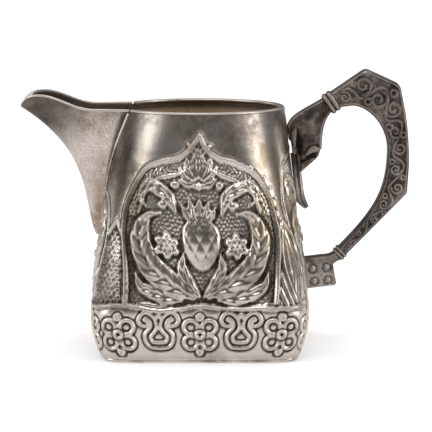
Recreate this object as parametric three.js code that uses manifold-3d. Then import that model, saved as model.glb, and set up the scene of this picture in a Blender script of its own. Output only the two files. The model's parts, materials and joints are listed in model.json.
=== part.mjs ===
// A cream jug of sheet and cast silver. The body turns from a rounded square foot to a round mouth,
// a beak-shaped spout is let into one side, and an angular cast handle stands on the other.
// Millimetres, +Z up. The origin lies on the table under the middle of the body.
// The spout points along -X and the handle along +X, so the jug is the same on both sides of the XZ plane.

import * as THREE from "three";
import { LoftGeometry } from "three/addons/geometries/LoftGeometry.js";
import { mergeVertices } from "three/addons/utils/BufferGeometryUtils.js";
import Module from "manifold-3d";

const wasm = await Module();
wasm.setup();

// Driving dimensions of the body
const bodyHeight = 81.5; // table to the top of the mouth rim
const mouthDiameter = 56.4;
const bellyWidth = 72.3; // across the flats at the widest level
const bellyHeight = 16.5; // height of the widest level
const footWidth = 64.8;
const footSquareness = 9; // superellipse exponent of the foot; a circle has 2
const wall = 0.9;
const baseThickness = 1.1;
const baseEdgeRound = 0.5;
const solderGap = 0.3; // left between two soldered pieces

// Driving dimensions of the relief that is chased on the four faces of the body
const reliefSink = 0.3; // depth of each form's edge inside the wall
const plumeHalf = 4.3; // half the width of the large leaves
const plumeRise = 0.95; // height of the large leaves over the wall
const curlHalf = 2.6; // half the width of the small leaves
const curlRise = 0.8;
const fruitHalf = 6.2; // half the width of the fruit in the middle
const fruitLength = 17.6;
const fruitRise = 1.05;
const crownHalf = 4.6; // half the width of the crown on the fruit
const crownLength = 7.2;
const budHalf = 3.6; // half the width of the bud under the spout
const budLength = 13.2;
const budGap = 3.2; // from the bud to the foot of the spout
const rosetteRadius = 5;
const rosetteRise = 0.9;
const rosetteNotch = 0.86; // radius between two petals over the radius of the flower
const fanReach = 12.4; // length of the middle leaf of the fan at the top
const fanHalf = 2.1; // half the width of each leaf of the fan
const fanRise = 0.75;
const fanLeans = [-1.1, -0.55, 0, 0.55, 1.1]; // lean of each leaf of the fan from upright
const leafTop = 0.45; // width of a leaf's flat top over its whole width
const reliefTolerance = 0.06; // how far the finished shell may stray where its facets are joined

// Driving dimensions of the wire round the mouth
const rimWidth = 1.9;
const rimHeight = 1.2;

// Driving dimensions of the spout
const spoutReach = 61; // body axis to the tip
const spoutHeight = 44.2; // mouth rim down to the foot of the spout
const spoutMouthWidth = 32; // across the seams at the mouth
const spoutLipWidth = 26.6; // across the lip
const spoutBelly = 10.4; // how far the keel stands off the wall before it flares
const spoutWall = 0.9;
const lipCrest = 4.7; // highest point of the lip above the mouth rim
const lipTipDrop = 1.1; // tip of the lip below the mouth rim
const lipRiseAt = 0.22; // where the lip starts to rise, as a share of the way from the mouth to the tip
const lipCrestAt = 0.76; // where the lip is highest, as the same share
const lipFallCurve = 3; // how late the lip falls from its crest to its tip
const keelFlareCurve = 3.2; // how late the keel sweeps out to the tip
const spoutBluntness = 2.2; // superellipse exponent of the spout's section at its foot
const lipBluntness = 4.3; // the same at its lip
const spoutRootDepth = 3.6; // how far the spout's section starts inside the body
const seamTrim = 0.004; // share of the way from seam to seam that is left off at each seam
const spoutFootTrim = 0.02; // share of the spout's height that is left off at its pointed foot
const lipWire = 1.2; // diameter of the wire along the lip
const notchInset = 1.2; // the pour opening is this much smaller than the spout on each side

// Driving dimensions of the handle
const handleReach = 70.4; // body axis to the outermost edge of the grip
const handleWidth = 7.6; // across the grip, along Y
const handleBevel = 0.9;
const gripLimb = 7.8; // depth of the grip at its outermost edge
const gripSwell = 0.7; // how far the outer edge bows out between shoulder and heel
const crestRise = 11.3; // crest of the grip above the middle of the upper collar
const crestOffset = 11.4; // crest of the grip outward of the upper collar
const shoulderInset = 3.8; // shoulder inward of the outermost edge
const shoulderDrop = 5.3; // shoulder below the crest
const heelInset = 1.2; // heel inward of the outermost edge
const heelRise = 20.4; // heel of the grip above the middle of the lower collar
const cornerRound = 1.5; // length rounded off on each side of a corner of the grip
const bracketWidth = 7; // across both brackets, along Y
const bracketBevel = 0.25;
const bracketRound = 0.8; // length rounded off on each side of a corner of a bracket
const collarProud = 0.5; // the collars stand out this much from the limbs
const tenonWidth = 3.6; // along Y
const tenonDepth = 3.2; // how far a tenon enters the grip
const tenonRoot = 1; // how far a tenon starts inside its bracket

// Driving dimensions of the upper bracket, its collar and its tongue
const upperDrop = 7; // upper bracket's seat below the mouth rim
const upperSeatHeight = 2.2; // along the wall
const upperNeckReach = 14.7; // wall to the middle of the collar
const upperNeckRise = 8; // seat to the middle of the collar
const upperNeckAngle = THREE.MathUtils.degToRad(34);
const upperNeckDepth = 5.4;
const upperNeckHump = 5.4; // height of the curve over the seat
const upperGripDepth = 5.8;
const upperCollarLength = 3.4;
const upperTenonDepth = 2.6;
const waistOut = 10.7; // inner side of the bracket off the wall
const jawOut = 9.9; // front of the jaw off the wall
const chinOut = 7.4; // underside of the jaw off the wall
const jawDrop = 15.2; // jaw below the mouth rim
const chinDrop = 18.6; // chin below the mouth rim
const toeDrop = 22.3; // lowest end of the bracket below the mouth rim
const bracketSlit = 0.9; // daylight between the bracket and the wall
const tongueTop = 16.5; // top of the tongue below the mouth rim
const tongueLength = 18.4;
const tongueThickness = 2.6;
const tongueTip = 1.5; // thickness at the tip
const tongueWidth = 6.4;
const tongueCurl = 2.6; // how far the tip bends off the wall
const tongueBend = 3.8; // length of the bent end

// Driving dimensions of the lower bracket, its collar and its rivets
const lowerHeight = 25; // middle of the lower bracket above the table
const lowerPlateLength = 10.2; // off the wall
const lowerPlateHeight = 10.2;
const lowerPlateWaist = 0.4; // how far the outer edge is drawn in
const lowerNeckReach = 11.8;
const lowerNeckRise = 6.8;
const lowerNeckAngle = THREE.MathUtils.degToRad(46);
const lowerNeckDepth = 3.4;
const lowerNeckRun = 3.4; // length of the curve from the plate to the neck
const lowerCollarLength = 2.4;
const lowerTenonDepth = 1.8;
const rivetShank = 1.3;
const rivetHead = 2.1;
const rivetDome = 0.7;
const rivetPitchOut = 4.6; // between rivets, away from the wall
const rivetPitchUp = 4.3; // between rivets, along the wall
const rivetDrop = 0.6; // rivets below the middle of the bracket
const rivetClearance = 0.2;

// Steps round the body and up it
const roundSteps = 72;
const wallSteps = 12;
const liningSteps = 8; // up the inside of the wall
const collarSteps = 20; // round a collar
const beadSteps = 8; // along a collar's two beads
const plumeSteps = 6; // along a large leaf
const curlSteps = 5; // along a small leaf
const fanSteps = 2; // along a leaf of the fan

const silver = new THREE.MeshStandardMaterial({ color: 0xb4a9a1, metalness: 1, roughness: 0.34 });
const castSilver = new THREE.MeshStandardMaterial({ color: 0x6f6660, metalness: 1, roughness: 0.42 });
const brightSilver = new THREE.MeshStandardMaterial({ color: 0xd0c7bf, metalness: 1, roughness: 0.25 });

const jug = new THREE.Group();
jug.name = "creamer";

// A closed geometry as a solid, with the faces turned out if they point in.
function solidOf(geometry) {
  const bare = new THREE.BufferGeometry();
  bare.setAttribute("position", geometry.getAttribute("position"));
  bare.setIndex(geometry.getIndex());
  const merged = mergeVertices(bare, 1e-4);
  const corners = [];
  const index = merged.index.array;
  for (let i = 0; i < index.length; i += 3) {
    const [a, b, c] = [index[i], index[i + 1], index[i + 2]];
    if (a !== b && b !== c && c !== a) corners.push(a, b, c);
  }
  const build = (triangles) =>
    new wasm.Manifold(
      new wasm.Mesh({
        numProp: 3,
        vertProperties: merged.attributes.position.array,
        triVerts: new Uint32Array(triangles),
      }),
    );
  const made = build(corners);
  return made.volume() < 0 ? build(corners.toReversed()) : made;
}

// A solid as a geometry for a mesh.
function geometryOf(solid) {
  const mesh = solid.getMesh();
  const geometry = new THREE.BufferGeometry();
  geometry.setAttribute("position", new THREE.Float32BufferAttribute(mesh.vertProperties, 3));
  geometry.setIndex(new THREE.BufferAttribute(mesh.triVerts, 1));
  geometry.computeVertexNormals();
  return geometry;
}

// A named piece in the jug, or in a group of it.
function addPiece(name, solid, material, parent = jug) {
  const mesh = new THREE.Mesh(geometryOf(solid), material);
  mesh.name = name;
  parent.add(mesh);
}

// Half the body's width across the flats at a height: a curve to the belly, then a taper to the mouth.
function halfWidth(z) {
  const [foot, belly, mouth] = [footWidth / 2, bellyWidth / 2, mouthDiameter / 2];
  if (z < bellyHeight) return belly - (belly - foot) * ((bellyHeight - z) / bellyHeight) ** 2;
  return belly + ((mouth - belly) * (z - bellyHeight)) / (bodyHeight - bellyHeight);
}

// The superellipse exponent of the body's section at a height: square at the foot, round at the mouth.
function squareness(z) {
  const up = THREE.MathUtils.clamp(z / bodyHeight, 0, 1);
  return 2 + (footSquareness - 2) * (1 - up) ** 1.6;
}

// A point of the body's section at a height and an angle, grown by an offset.
function wallPoint(z, angle, offset = 0) {
  const n = squareness(z);
  const [c, s] = [Math.cos(angle), Math.sin(angle)];
  const radius = (halfWidth(z) + offset) / (Math.abs(c) ** n + Math.abs(s) ** n) ** (1 / n);
  return new THREE.Vector3(radius * c, radius * s, z);
}

// One ring of the body's section at a height, grown by an offset, with its points closer at the corners.
function bodyRing(z, offset = 0) {
  const ring = [];
  for (let i = 0; i < roundSteps; i++) {
    const turn = ((i + 0.5) / roundSteps) * 2 * Math.PI;
    ring.push(wallPoint(z, turn + 0.12 * Math.sin(4 * turn), offset));
  }
  return ring;
}

// Heights from one level to another, closer together on the curved lower part.
function levels(from, to, steps) {
  const list = [];
  for (let i = 0; i <= steps; i++) list.push(from + (to - from) * (i / steps) ** 1.25);
  return list;
}

// The whole body as one solid, grown by an offset, used to trim what is soldered to it.
function bodyEnvelope(offset, headroom = 15) {
  const rings = levels(0, bodyHeight, wallSteps).map((z) => bodyRing(z, offset));
  const top = bodyRing(bodyHeight, offset).map((p) => p.setZ(bodyHeight + headroom));
  return solidOf(new LoftGeometry([...rings, top], { capStart: true, capEnd: true }));
}

// An outline in the XZ plane as a solid of a given width along Y, with bevelled edges.
function plate(outline, width, bevel) {
  const geometry = new THREE.ExtrudeGeometry(outline, {
    depth: width - 2 * bevel,
    bevelEnabled: bevel > 0,
    bevelThickness: bevel,
    bevelSize: bevel,
    bevelOffset: -bevel,
    bevelSegments: 2,
    curveSegments: 8,
  });
  geometry.translate(0, 0, bevel - width / 2);
  geometry.rotateX(Math.PI / 2);
  return solidOf(geometry);
}

// A bar along a direction in the XZ plane, from one distance to another past a point.
function bar(point, angle, from, to, depth, width) {
  const geometry = new THREE.BoxGeometry(to - from, width, depth);
  geometry.translate((from + to) / 2, 0, 0);
  geometry.rotateY(-angle);
  geometry.translate(point.x, 0, point.y);
  return solidOf(geometry);
}

// A point in the XZ plane, as (x, z), at a distance along a direction and across it.
function along(point, angle, forward, across) {
  const [c, s] = [Math.cos(angle), Math.sin(angle)];
  return new THREE.Vector2(point.x + forward * c - across * s, point.y + forward * s + across * c);
}

// Base plate: a flat sheet with a rounded edge that closes the foot.
const baseRings = [bodyRing(0, -baseEdgeRound), bodyRing(baseEdgeRound), bodyRing(baseThickness)];
baseRings.forEach((ring, i) => ring.forEach((p) => p.setZ([0, baseEdgeRound, baseThickness][i])));
addPiece("base_plate", solidOf(new LoftGeometry(baseRings, { capStart: true, capEnd: true })), silver);

// Body shell: the outer wall, turned over the top edge and down inside, with the pour opening cut out.
const shellTop = bodyHeight - rimHeight - solderGap;
const outerWall = levels(baseThickness, shellTop, wallSteps).map((z) => bodyRing(z));
const innerWall = levels(baseThickness, shellTop, liningSteps).map((z) => bodyRing(z, -wall));
const shellRings = [...outerWall, ...innerWall.toReversed(), outerWall[0]];
const shellSolid = solidOf(new LoftGeometry(shellRings));
const spoutFoot = bodyHeight - spoutHeight;

// Half the spout's width at the seams: rounded at the foot of the spout, then opening evenly up to the mouth.
function seamHalfWidth(z) {
  const up = THREE.MathUtils.clamp((z - spoutFoot) / spoutHeight, 0, 1);
  return (spoutMouthWidth / 4) * (Math.sqrt(up) + up);
}

// A place on a face of the body, in hundredths of the belly's width and of the body's height: the distance
// along the wall from the middle of the face, and the height.
const place = (across, up) => new THREE.Vector2((across / 100) * bellyWidth, (up / 100) * bodyHeight);

// A place on a face as a point in space, raised off the wall but never past the width of the belly.
function onWall(face, at, rise) {
  const step = Math.PI / 1440;
  let [angle, run] = [0, 0];
  while (run < Math.abs(at.x)) {
    run += wallPoint(at.y, angle + step).distanceTo(wallPoint(at.y, angle));
    angle += step;
  }
  const offset = Math.min(rise, bellyWidth / 2 - halfWidth(at.y));
  return wallPoint(at.y, (face * Math.PI) / 2 + Math.sign(at.x) * angle, offset);
}

// A leaf along a line of places on a face, pointed at its tip, with a flat top and sloping sides.
function leafSolid(face, places, half, rise, steps) {
  const line = new THREE.SplineCurve(places);
  const sections = [];
  for (let i = 0; i <= steps; i++) {
    const share = THREE.MathUtils.clamp(i / steps, 0.03, 0.985);
    const width = half * Math.sin(Math.PI * share ** 0.75) ** 0.8;
    const top = rise * Math.sqrt(width / half);
    const ahead = line.getTangentAt(share);
    const left = new THREE.Vector2(-ahead.y, ahead.x).multiplyScalar(width);
    const corner = (side, up) => onWall(face, line.getPointAt(share).addScaledVector(left, side), up);
    const [edge, flat] = [-reliefSink, leafTop];
    sections.push([corner(1, edge), corner(flat, top), corner(-flat, top), corner(-1, edge)]);
  }
  return solidOf(new LoftGeometry(sections, { capStart: true, capEnd: true }));
}

// A leaf and its mirror image on the other half of the face.
function leafPair(face, places, half, rise, steps) {
  const mirrored = places.map((p) => new THREE.Vector2(-p.x, p.y));
  return [leafSolid(face, places, half, rise, steps), leafSolid(face, mirrored, half, rise, steps)];
}

// A low dome on a face, round or with the notched edge of a flower.
function domeSolid(face, middle, radii, rise, notch = 1) {
  const corners = 10;
  const ringAt = (size, up) =>
    Array.from({ length: corners }, (_, i) => {
      const turn = (i / corners) * 2 * Math.PI;
      const reach = size * (i % 2 ? notch : 1);
      const out = new THREE.Vector2(Math.cos(turn), Math.sin(turn)).multiplyScalar(reach);
      return onWall(face, out.multiply(radii).add(middle), up);
    });
  const rings = [ringAt(1, -reliefSink), ringAt(0.78, 0.75 * rise), ringAt(0.4, rise)];
  return solidOf(new LoftGeometry(rings, { capStart: true, capEnd: true }));
}

// A rosette and its mirror image.
function rosettePair(face, middle) {
  const radii = new THREE.Vector2(rosetteRadius, rosetteRadius);
  const mirrored = new THREE.Vector2(-middle.x, middle.y);
  return [middle, mirrored].map((at) => domeSolid(face, at, radii, rosetteRise, rosetteNotch));
}

// A fan of leaves that spread from one place.
function fanSolids(face, root) {
  return fanLeans.map((lean) => {
    const reach = fanReach * (1 - 0.36 * Math.abs(lean));
    const tip = new THREE.Vector2(Math.sin(lean), Math.cos(lean)).multiplyScalar(reach).add(root);
    const middle = root.clone().lerp(tip, 0.5);
    return leafSolid(face, [root, middle, tip], fanHalf, fanRise, fanSteps);
  });
}

// The chased forms of the four faces, each face by its turn from +X: handle, back, spout and front.
const lowLeaf = [place(8.3, 26.5), place(18, 27.2), place(27.1, 30.4), place(30.4, 36.3)];
const plumeTop = [place(13.8, 32.1), place(22.7, 38.8), place(27.4, 48.3), place(24.6, 57.9), place(17.7, 59.9)];
const curl = [place(10, 60.9), place(14.7, 68.2), place(22.4, 70.7), place(26.8, 66), place(24.1, 62.3)];
const spoutPlumeLow = [place(2.8, 27.5), place(11.1, 29.9), place(20.7, 36.3)];
const spoutPlumeTop = [place(26.8, 47.1), place(26.3, 58.2), place(21, 63.3)];
const budMiddle = new THREE.Vector2(0, spoutFoot - budGap - budLength / 2);
const [handleFace, backFace, spoutFace, frontFace] = [0, 1, 2, 3];
const reliefSolids = [
  ...leafPair(handleFace, [place(8.9, 28.7), ...plumeTop], plumeHalf, plumeRise, plumeSteps),
  ...leafPair(spoutFace, [...spoutPlumeLow, ...spoutPlumeTop], plumeHalf, plumeRise, plumeSteps),
  ...leafPair(handleFace, curl, curlHalf, curlRise, curlSteps),
  ...rosettePair(handleFace, place(15.8, 47.4)),
  ...rosettePair(spoutFace, place(14.4, 41.2)),
  domeSolid(spoutFace, budMiddle, new THREE.Vector2(budHalf, budLength / 2), curlRise),
];
for (const face of [backFace, frontFace]) {
  reliefSolids.push(
    ...leafPair(face, [place(3.6, 28), ...plumeTop], plumeHalf, plumeRise, plumeSteps),
    ...leafPair(face, curl, curlHalf, curlRise, curlSteps),
    ...rosettePair(face, place(15.8, 47.4)),
    domeSolid(face, place(0, 49.1), new THREE.Vector2(fruitHalf, fruitLength / 2), fruitRise),
    domeSolid(face, place(0, 62.6), new THREE.Vector2(crownHalf, crownLength / 2), fanRise, rosetteNotch),
    ...fanSolids(face, place(0, 71.7)),
  );
}
for (const face of [handleFace, backFace, spoutFace, frontFace]) {
  reliefSolids.push(...leafPair(face, lowLeaf, curlHalf, curlRise, curlSteps));
}
const chasedShell = wasm.Manifold.union([shellSolid, ...reliefSolids]);

// The pour opening, a little inside the seams all round, as a cutter through the spout side of the shell.
function pourOpening() {
  const steps = 16;
  const lowest = (Math.sqrt(1 + (16 * notchInset) / spoutMouthWidth) - 1) / 2;
  const outline = [];
  for (let i = -steps; i <= steps; i++) {
    const root = lowest + (1 - lowest) * Math.abs(i / steps);
    const z = spoutFoot + spoutHeight * root * root;
    outline.push([Math.sign(i) * (seamHalfWidth(z) - notchInset), z]);
  }
  const above = bodyHeight + rimHeight;
  outline.push([outline.at(-1)[0], above], [outline[0][0], above]);
  const sectionAt = (x) => outline.map(([y, z]) => new THREE.Vector3(x, y, z));
  const sections = [sectionAt(-spoutReach), sectionAt(-mouthDiameter / 4)];
  return solidOf(new LoftGeometry(sections, { capStart: true, capEnd: true }));
}
addPiece("body_shell", chasedShell.subtract(pourOpening()).simplify(reliefTolerance), silver);

// Mouth rim: a flattened wire on the top edge of the shell, open where the spout begins.
const rimRadius = mouthDiameter / 2 - rimWidth / 2;
const rimOpening = Math.asin((spoutMouthWidth / 2 + solderGap) / rimRadius);
const rimSteps = 52;
const rimPath = new THREE.CatmullRomCurve3(
  Array.from({ length: rimSteps + 1 }, (_, i) => {
    const angle = -Math.PI + rimOpening + (i / rimSteps) * 2 * (Math.PI - rimOpening);
    const [x, y] = [rimRadius * Math.cos(angle), rimRadius * Math.sin(angle)];
    return new THREE.Vector3(x, y, bodyHeight - rimHeight / 2);
  }),
);
const rimSection = new THREE.Shape().absellipse(0, 0, rimHeight / 2, rimWidth / 2, 0, 2 * Math.PI);
const rimGeometry = new THREE.ExtrudeGeometry(rimSection, {
  steps: rimSteps,
  extrudePath: rimPath,
  curveSegments: 4,
});
addPiece("mouth_rim", solidOf(rimGeometry), brightSilver);

// A point on the outside of the spout at a height: side runs from 0 at one seam, over the keel at 0.5, to 1.
function spoutPoint(side, z) {
  const up = THREE.MathUtils.clamp((z - spoutFoot) / spoutHeight, 0, 1);
  const seam = seamHalfWidth(z);
  const n = squareness(z);
  const half = halfWidth(Math.min(z, bodyHeight));
  const seamX = half * (1 - (seam / half) ** n) ** (1 / n);
  const flare = spoutReach - lipWire - mouthDiameter / 2 - spoutBelly;
  const keelX = half + spoutBelly * Math.sqrt(up) + flare * up ** keelFlareCurve;
  const rootX = seamX - spoutRootDepth;
  const bluntness = THREE.MathUtils.lerp(spoutBluntness, lipBluntness, up * up);
  const angle = (side - 0.5) * Math.PI;
  const [c, s] = [Math.max(Math.cos(angle), 0), Math.sin(angle)];
  const reach = 1 / (c ** bluntness + Math.abs(s) ** bluntness) ** (1 / bluntness);
  const x = rootX + (keelX - rootX) * reach * c;
  const past = Math.max((x - seamX) / (keelX - seamX), 0);
  const narrowing = spoutLipWidth / spoutMouthWidth;
  const across = seam * (narrowing + (1 - narrowing) * (1 - past) ** 3);
  return new THREE.Vector3(-x, across * reach * s, z);
}

// Height of the top of the lip: level at the mouth, up to a crest and down to the tip.
function lipTop(x) {
  const out = THREE.MathUtils.clamp((-x - mouthDiameter / 2) / (spoutReach - mouthDiameter / 2), 0, 1);
  const rise = THREE.MathUtils.smoothstep(out, lipRiseAt, lipCrestAt);
  const dip = Math.max((out - lipCrestAt) / (1 - lipCrestAt), 0) ** lipFallCurve;
  return bodyHeight + lipCrest * rise - (lipCrest + lipTipDrop) * dip;
}

// The top edge of the spout's sheet at one place along it, under the lip wire.
function sheetTop(side) {
  let z = bodyHeight;
  for (let i = 0; i < 8; i++) z = lipTop(spoutPoint(side, z).x) - lipWire - solderGap;
  return z;
}

// The middle of the sheet's top edge at one place along it.
function sheetEdge(side) {
  const z = sheetTop(side);
  return spoutPoint(side, z).addScaledVector(spoutNormal(side, z), -spoutWall / 2);
}

// The way out of the spout's surface at a point, from two short steps along it.
function spoutNormal(side, z) {
  const step = 1e-3;
  const sideways = spoutPoint(side + step, z).sub(spoutPoint(side - step, z));
  const upward = spoutPoint(side, z + step).sub(spoutPoint(side, z - step));
  return upward.cross(sideways).normalize();
}

// Spout: a sheet bent to a beak, trimmed where it meets the shell.
const spoutSides = 36;
const spoutLevels = 14;
const spoutStrips = [];
for (let i = 0; i <= spoutSides; i++) {
  const side = THREE.MathUtils.clamp(i / spoutSides, seamTrim, 1 - seamTrim);
  const outside = [];
  const inside = [];
  for (let row = 0; row <= spoutLevels; row++) {
    const share = THREE.MathUtils.lerp(spoutFootTrim, 1, row / spoutLevels);
    const z = spoutFoot + (sheetTop(side) - spoutFoot) * share;
    const point = spoutPoint(side, z);
    outside.push(point);
    inside.push(point.clone().addScaledVector(spoutNormal(side, z), -spoutWall));
  }
  spoutStrips.push([...outside, ...inside.toReversed()]);
}
const trimmedBody = bodyEnvelope(solderGap);
const spoutSolid = solidOf(new LoftGeometry(spoutStrips, { capStart: true, capEnd: true }));
addPiece("spout", spoutSolid.subtract(trimmedBody), silver);

// Lip wire: a round wire along the top edge of the spout's sheet, from seam to seam.
const lipSteps = 40;
const lipPoints = Array.from({ length: lipSteps + 1 }, (_, i) => {
  const side = THREE.MathUtils.lerp(seamTrim, 1 - seamTrim, i / lipSteps);
  const run = sheetEdge(side + 2e-3).sub(sheetEdge(side - 2e-3)).normalize();
  const rise = run.cross(spoutNormal(side, sheetTop(side))).normalize();
  return sheetEdge(side).addScaledVector(rise, solderGap + lipWire / 2);
});
const lipSection = new THREE.Shape().absarc(0, 0, lipWire / 2, 0, 2 * Math.PI);
const lipGeometry = new THREE.ExtrudeGeometry(lipSection, {
  steps: 60,
  extrudePath: new THREE.CatmullRomCurve3(lipPoints),
  curveSegments: 4,
});
addPiece("spout_lip", solidOf(lipGeometry).subtract(trimmedBody), brightSilver);

// Places on the handle side: the wall's line, and the two collars.
const wallAt = (z, off) => new THREE.Vector2(halfWidth(z) + off, z);
const upperSeat = bodyHeight - upperDrop;
const upperCollar = new THREE.Vector2(halfWidth(upperSeat) + upperNeckReach, upperSeat + upperNeckRise);
const lowerCollar = new THREE.Vector2(halfWidth(lowerHeight) + lowerNeckReach, lowerHeight + lowerNeckRise);
const upperHalf = upperCollarLength / 2 + solderGap;
const lowerHalf = lowerCollarLength / 2 + solderGap;

// Carries an outline round a corner, towards the next point, with a length cut off on each side of it.
function roundCorner(outline, corner, next, cut) {
  const before = outline.currentPoint.clone().sub(corner).setLength(cut).add(corner);
  const after = next.clone().sub(corner).setLength(cut).add(corner);
  outline.lineTo(before.x, before.y);
  outline.quadraticCurveTo(corner.x, corner.y, after.x, after.y);
}

// Handle grip: an angular loop from the upper collar over a crest, a shoulder and a heel to the lower collar.
function gripOutline() {
  const top = along(upperCollar, upperNeckAngle, upperHalf, upperGripDepth / 2);
  const under = along(upperCollar, upperNeckAngle, upperHalf, -upperGripDepth / 2);
  const outer = along(lowerCollar, lowerNeckAngle, lowerHalf, -lowerNeckDepth / 2);
  const inner = along(lowerCollar, lowerNeckAngle, lowerHalf, lowerNeckDepth / 2);
  const crest = new THREE.Vector2(upperCollar.x + crestOffset, upperCollar.y + crestRise);
  const shoulder = new THREE.Vector2(handleReach - shoulderInset, crest.y - shoulderDrop);
  const heel = new THREE.Vector2(handleReach - heelInset, lowerCollar.y + heelRise);
  const swell = new THREE.Vector2(handleReach + gripSwell, (shoulder.y + heel.y) / 2);
  const innerX = handleReach - gripLimb;
  const loopTop = under.y + collarProud;
  const widest = (heel.y + loopTop) / 2;
  const rise = along(inner, lowerNeckAngle, (innerX - inner.x) * 1.05, 0);
  const outline = new THREE.Shape();
  outline.moveTo(top.x, top.y);
  roundCorner(outline, crest, shoulder, cornerRound);
  roundCorner(outline, shoulder, swell, cornerRound);
  const toHeel = swell.clone().sub(heel).setLength(cornerRound).add(heel);
  outline.quadraticCurveTo(swell.x, swell.y, toHeel.x, toHeel.y);
  roundCorner(outline, heel, outer, cornerRound / 2);
  outline.lineTo(outer.x, outer.y);
  outline.lineTo(inner.x, inner.y);
  outline.bezierCurveTo(rise.x, rise.y, innerX, heel.y, innerX, widest);
  const overTop = under.x + gripLimb / 2;
  outline.bezierCurveTo(innerX, (widest + loopTop) / 2, innerX - gripLimb * 0.8, loopTop, overTop, loopTop);
  outline.lineTo(under.x, under.y);
  return outline;
}

// A socket in the grip for a tenon, and the tenon itself.
function tenon(collar, angle, half, depth, clearance) {
  const [from, to] = [-half - tenonRoot, half + tenonDepth + clearance];
  return bar(collar, angle, from, to, depth + 2 * clearance, tenonWidth + 2 * clearance);
}
const upperTenon = (clearance) => tenon(upperCollar, upperNeckAngle, upperHalf, upperTenonDepth, clearance);
const lowerTenon = (clearance) => tenon(lowerCollar, lowerNeckAngle, lowerHalf, lowerTenonDepth, clearance);
const gripSolid = plate(gripOutline(), handleWidth, handleBevel)
  .subtract(upperTenon(solderGap))
  .subtract(lowerTenon(solderGap));
addPiece("handle_grip", gripSolid, castSilver);

// Collars: rings with two beads that cover the joints between the grip and its brackets.
function collarSolid(length, depth, width, holeDepth) {
  const loop = (halfDepth, halfAcross, corner, z) => {
    const ring = [];
    for (let i = 0; i < collarSteps; i++) {
      const angle = ((i + 0.5) / collarSteps) * 2 * Math.PI;
      const [c, s] = [Math.cos(angle), Math.sin(angle)];
      const reach = 1 / (Math.abs(c) ** corner + Math.abs(s) ** corner) ** (1 / corner);
      ring.push(new THREE.Vector3(halfDepth * c * reach, halfAcross * s * reach, z));
    }
    return ring;
  };
  const beads = [];
  for (let i = 0; i <= beadSteps; i++) {
    const proud = collarProud * Math.abs(Math.sin((2 * Math.PI * i) / beadSteps));
    beads.push(loop(depth / 2 + proud, width / 2 + proud, 5, (i / beadSteps - 0.5) * length));
  }
  const hole = [length / 2, -length / 2].map((z) =>
    loop(holeDepth / 2 + solderGap, tenonWidth / 2 + solderGap, 12, z),
  );
  return solidOf(new LoftGeometry([...beads, ...hole, beads[0]]));
}

// Puts a collar at its place, with its length along the limb.
function addCollar(name, solid, collar, angle) {
  const holder = new THREE.Group();
  holder.position.set(collar.x, 0, collar.y);
  holder.rotation.y = Math.PI / 2 - angle;
  jug.add(holder);
  addPiece(name, solid, castSilver, holder);
}
const upperRing = collarSolid(upperCollarLength, upperNeckDepth + 1, handleWidth, upperTenonDepth);
const lowerRing = collarSolid(lowerCollarLength, lowerNeckDepth + 0.4, bracketWidth, lowerTenonDepth);
addCollar("upper_collar", upperRing, upperCollar, upperNeckAngle);
addCollar("lower_collar", lowerRing, lowerCollar, lowerNeckAngle);

// Upper bracket: a scrolled knuckle between the collar and the wall, with a jaw that bears on the tongue.
const tongueZ = bodyHeight - tongueTop;
const tongueFace = tongueThickness + 2 * solderGap;
function upperBracketOutline() {
  const top = along(upperCollar, upperNeckAngle, -upperHalf, upperNeckDepth / 2);
  const under = along(upperCollar, upperNeckAngle, -upperHalf, -upperNeckDepth / 2);
  const seatTop = wallAt(upperSeat, solderGap);
  const seatUnder = wallAt(upperSeat - upperSeatHeight, solderGap);
  const slitTop = wallAt(upperSeat - upperSeatHeight - bracketSlit, bracketSlit);
  const slitUnder = wallAt(tongueZ + solderGap, bracketSlit);
  const ledge = wallAt(tongueZ + solderGap, tongueFace);
  const toe = wallAt(bodyHeight - toeDrop, tongueFace);
  const waist = wallAt((slitTop.y + slitUnder.y) / 2, waistOut);
  const jaw = wallAt(bodyHeight - jawDrop, jawOut);
  const chin = wallAt(bodyHeight - chinDrop, chinOut);
  const outline = new THREE.Shape();
  outline.moveTo(seatTop.x, seatTop.y);
  outline.bezierCurveTo(
    seatTop.x + bracketRound,
    seatTop.y + upperNeckHump * 0.7,
    seatTop.x + upperNeckHump,
    seatTop.y + upperNeckHump,
    top.x,
    top.y,
  );
  outline.lineTo(under.x, under.y);
  outline.quadraticCurveTo(waist.x, (3 * under.y + waist.y) / 4, waist.x, waist.y);
  outline.lineTo(jaw.x, jaw.y);
  outline.quadraticCurveTo(jaw.x, (jaw.y + chin.y) / 2, chin.x, chin.y);
  outline.lineTo(toe.x + bracketRound, toe.y);
  outline.lineTo(toe.x, toe.y + bracketRound);
  outline.lineTo(ledge.x, ledge.y);
  outline.lineTo(slitUnder.x, slitUnder.y);
  outline.lineTo(slitTop.x, slitTop.y);
  outline.lineTo(seatUnder.x, seatUnder.y);
  return outline;
}
const upperBracketSolid = plate(upperBracketOutline(), bracketWidth, bracketBevel).add(upperTenon(0));
addPiece("upper_bracket", upperBracketSolid, castSilver);

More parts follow.
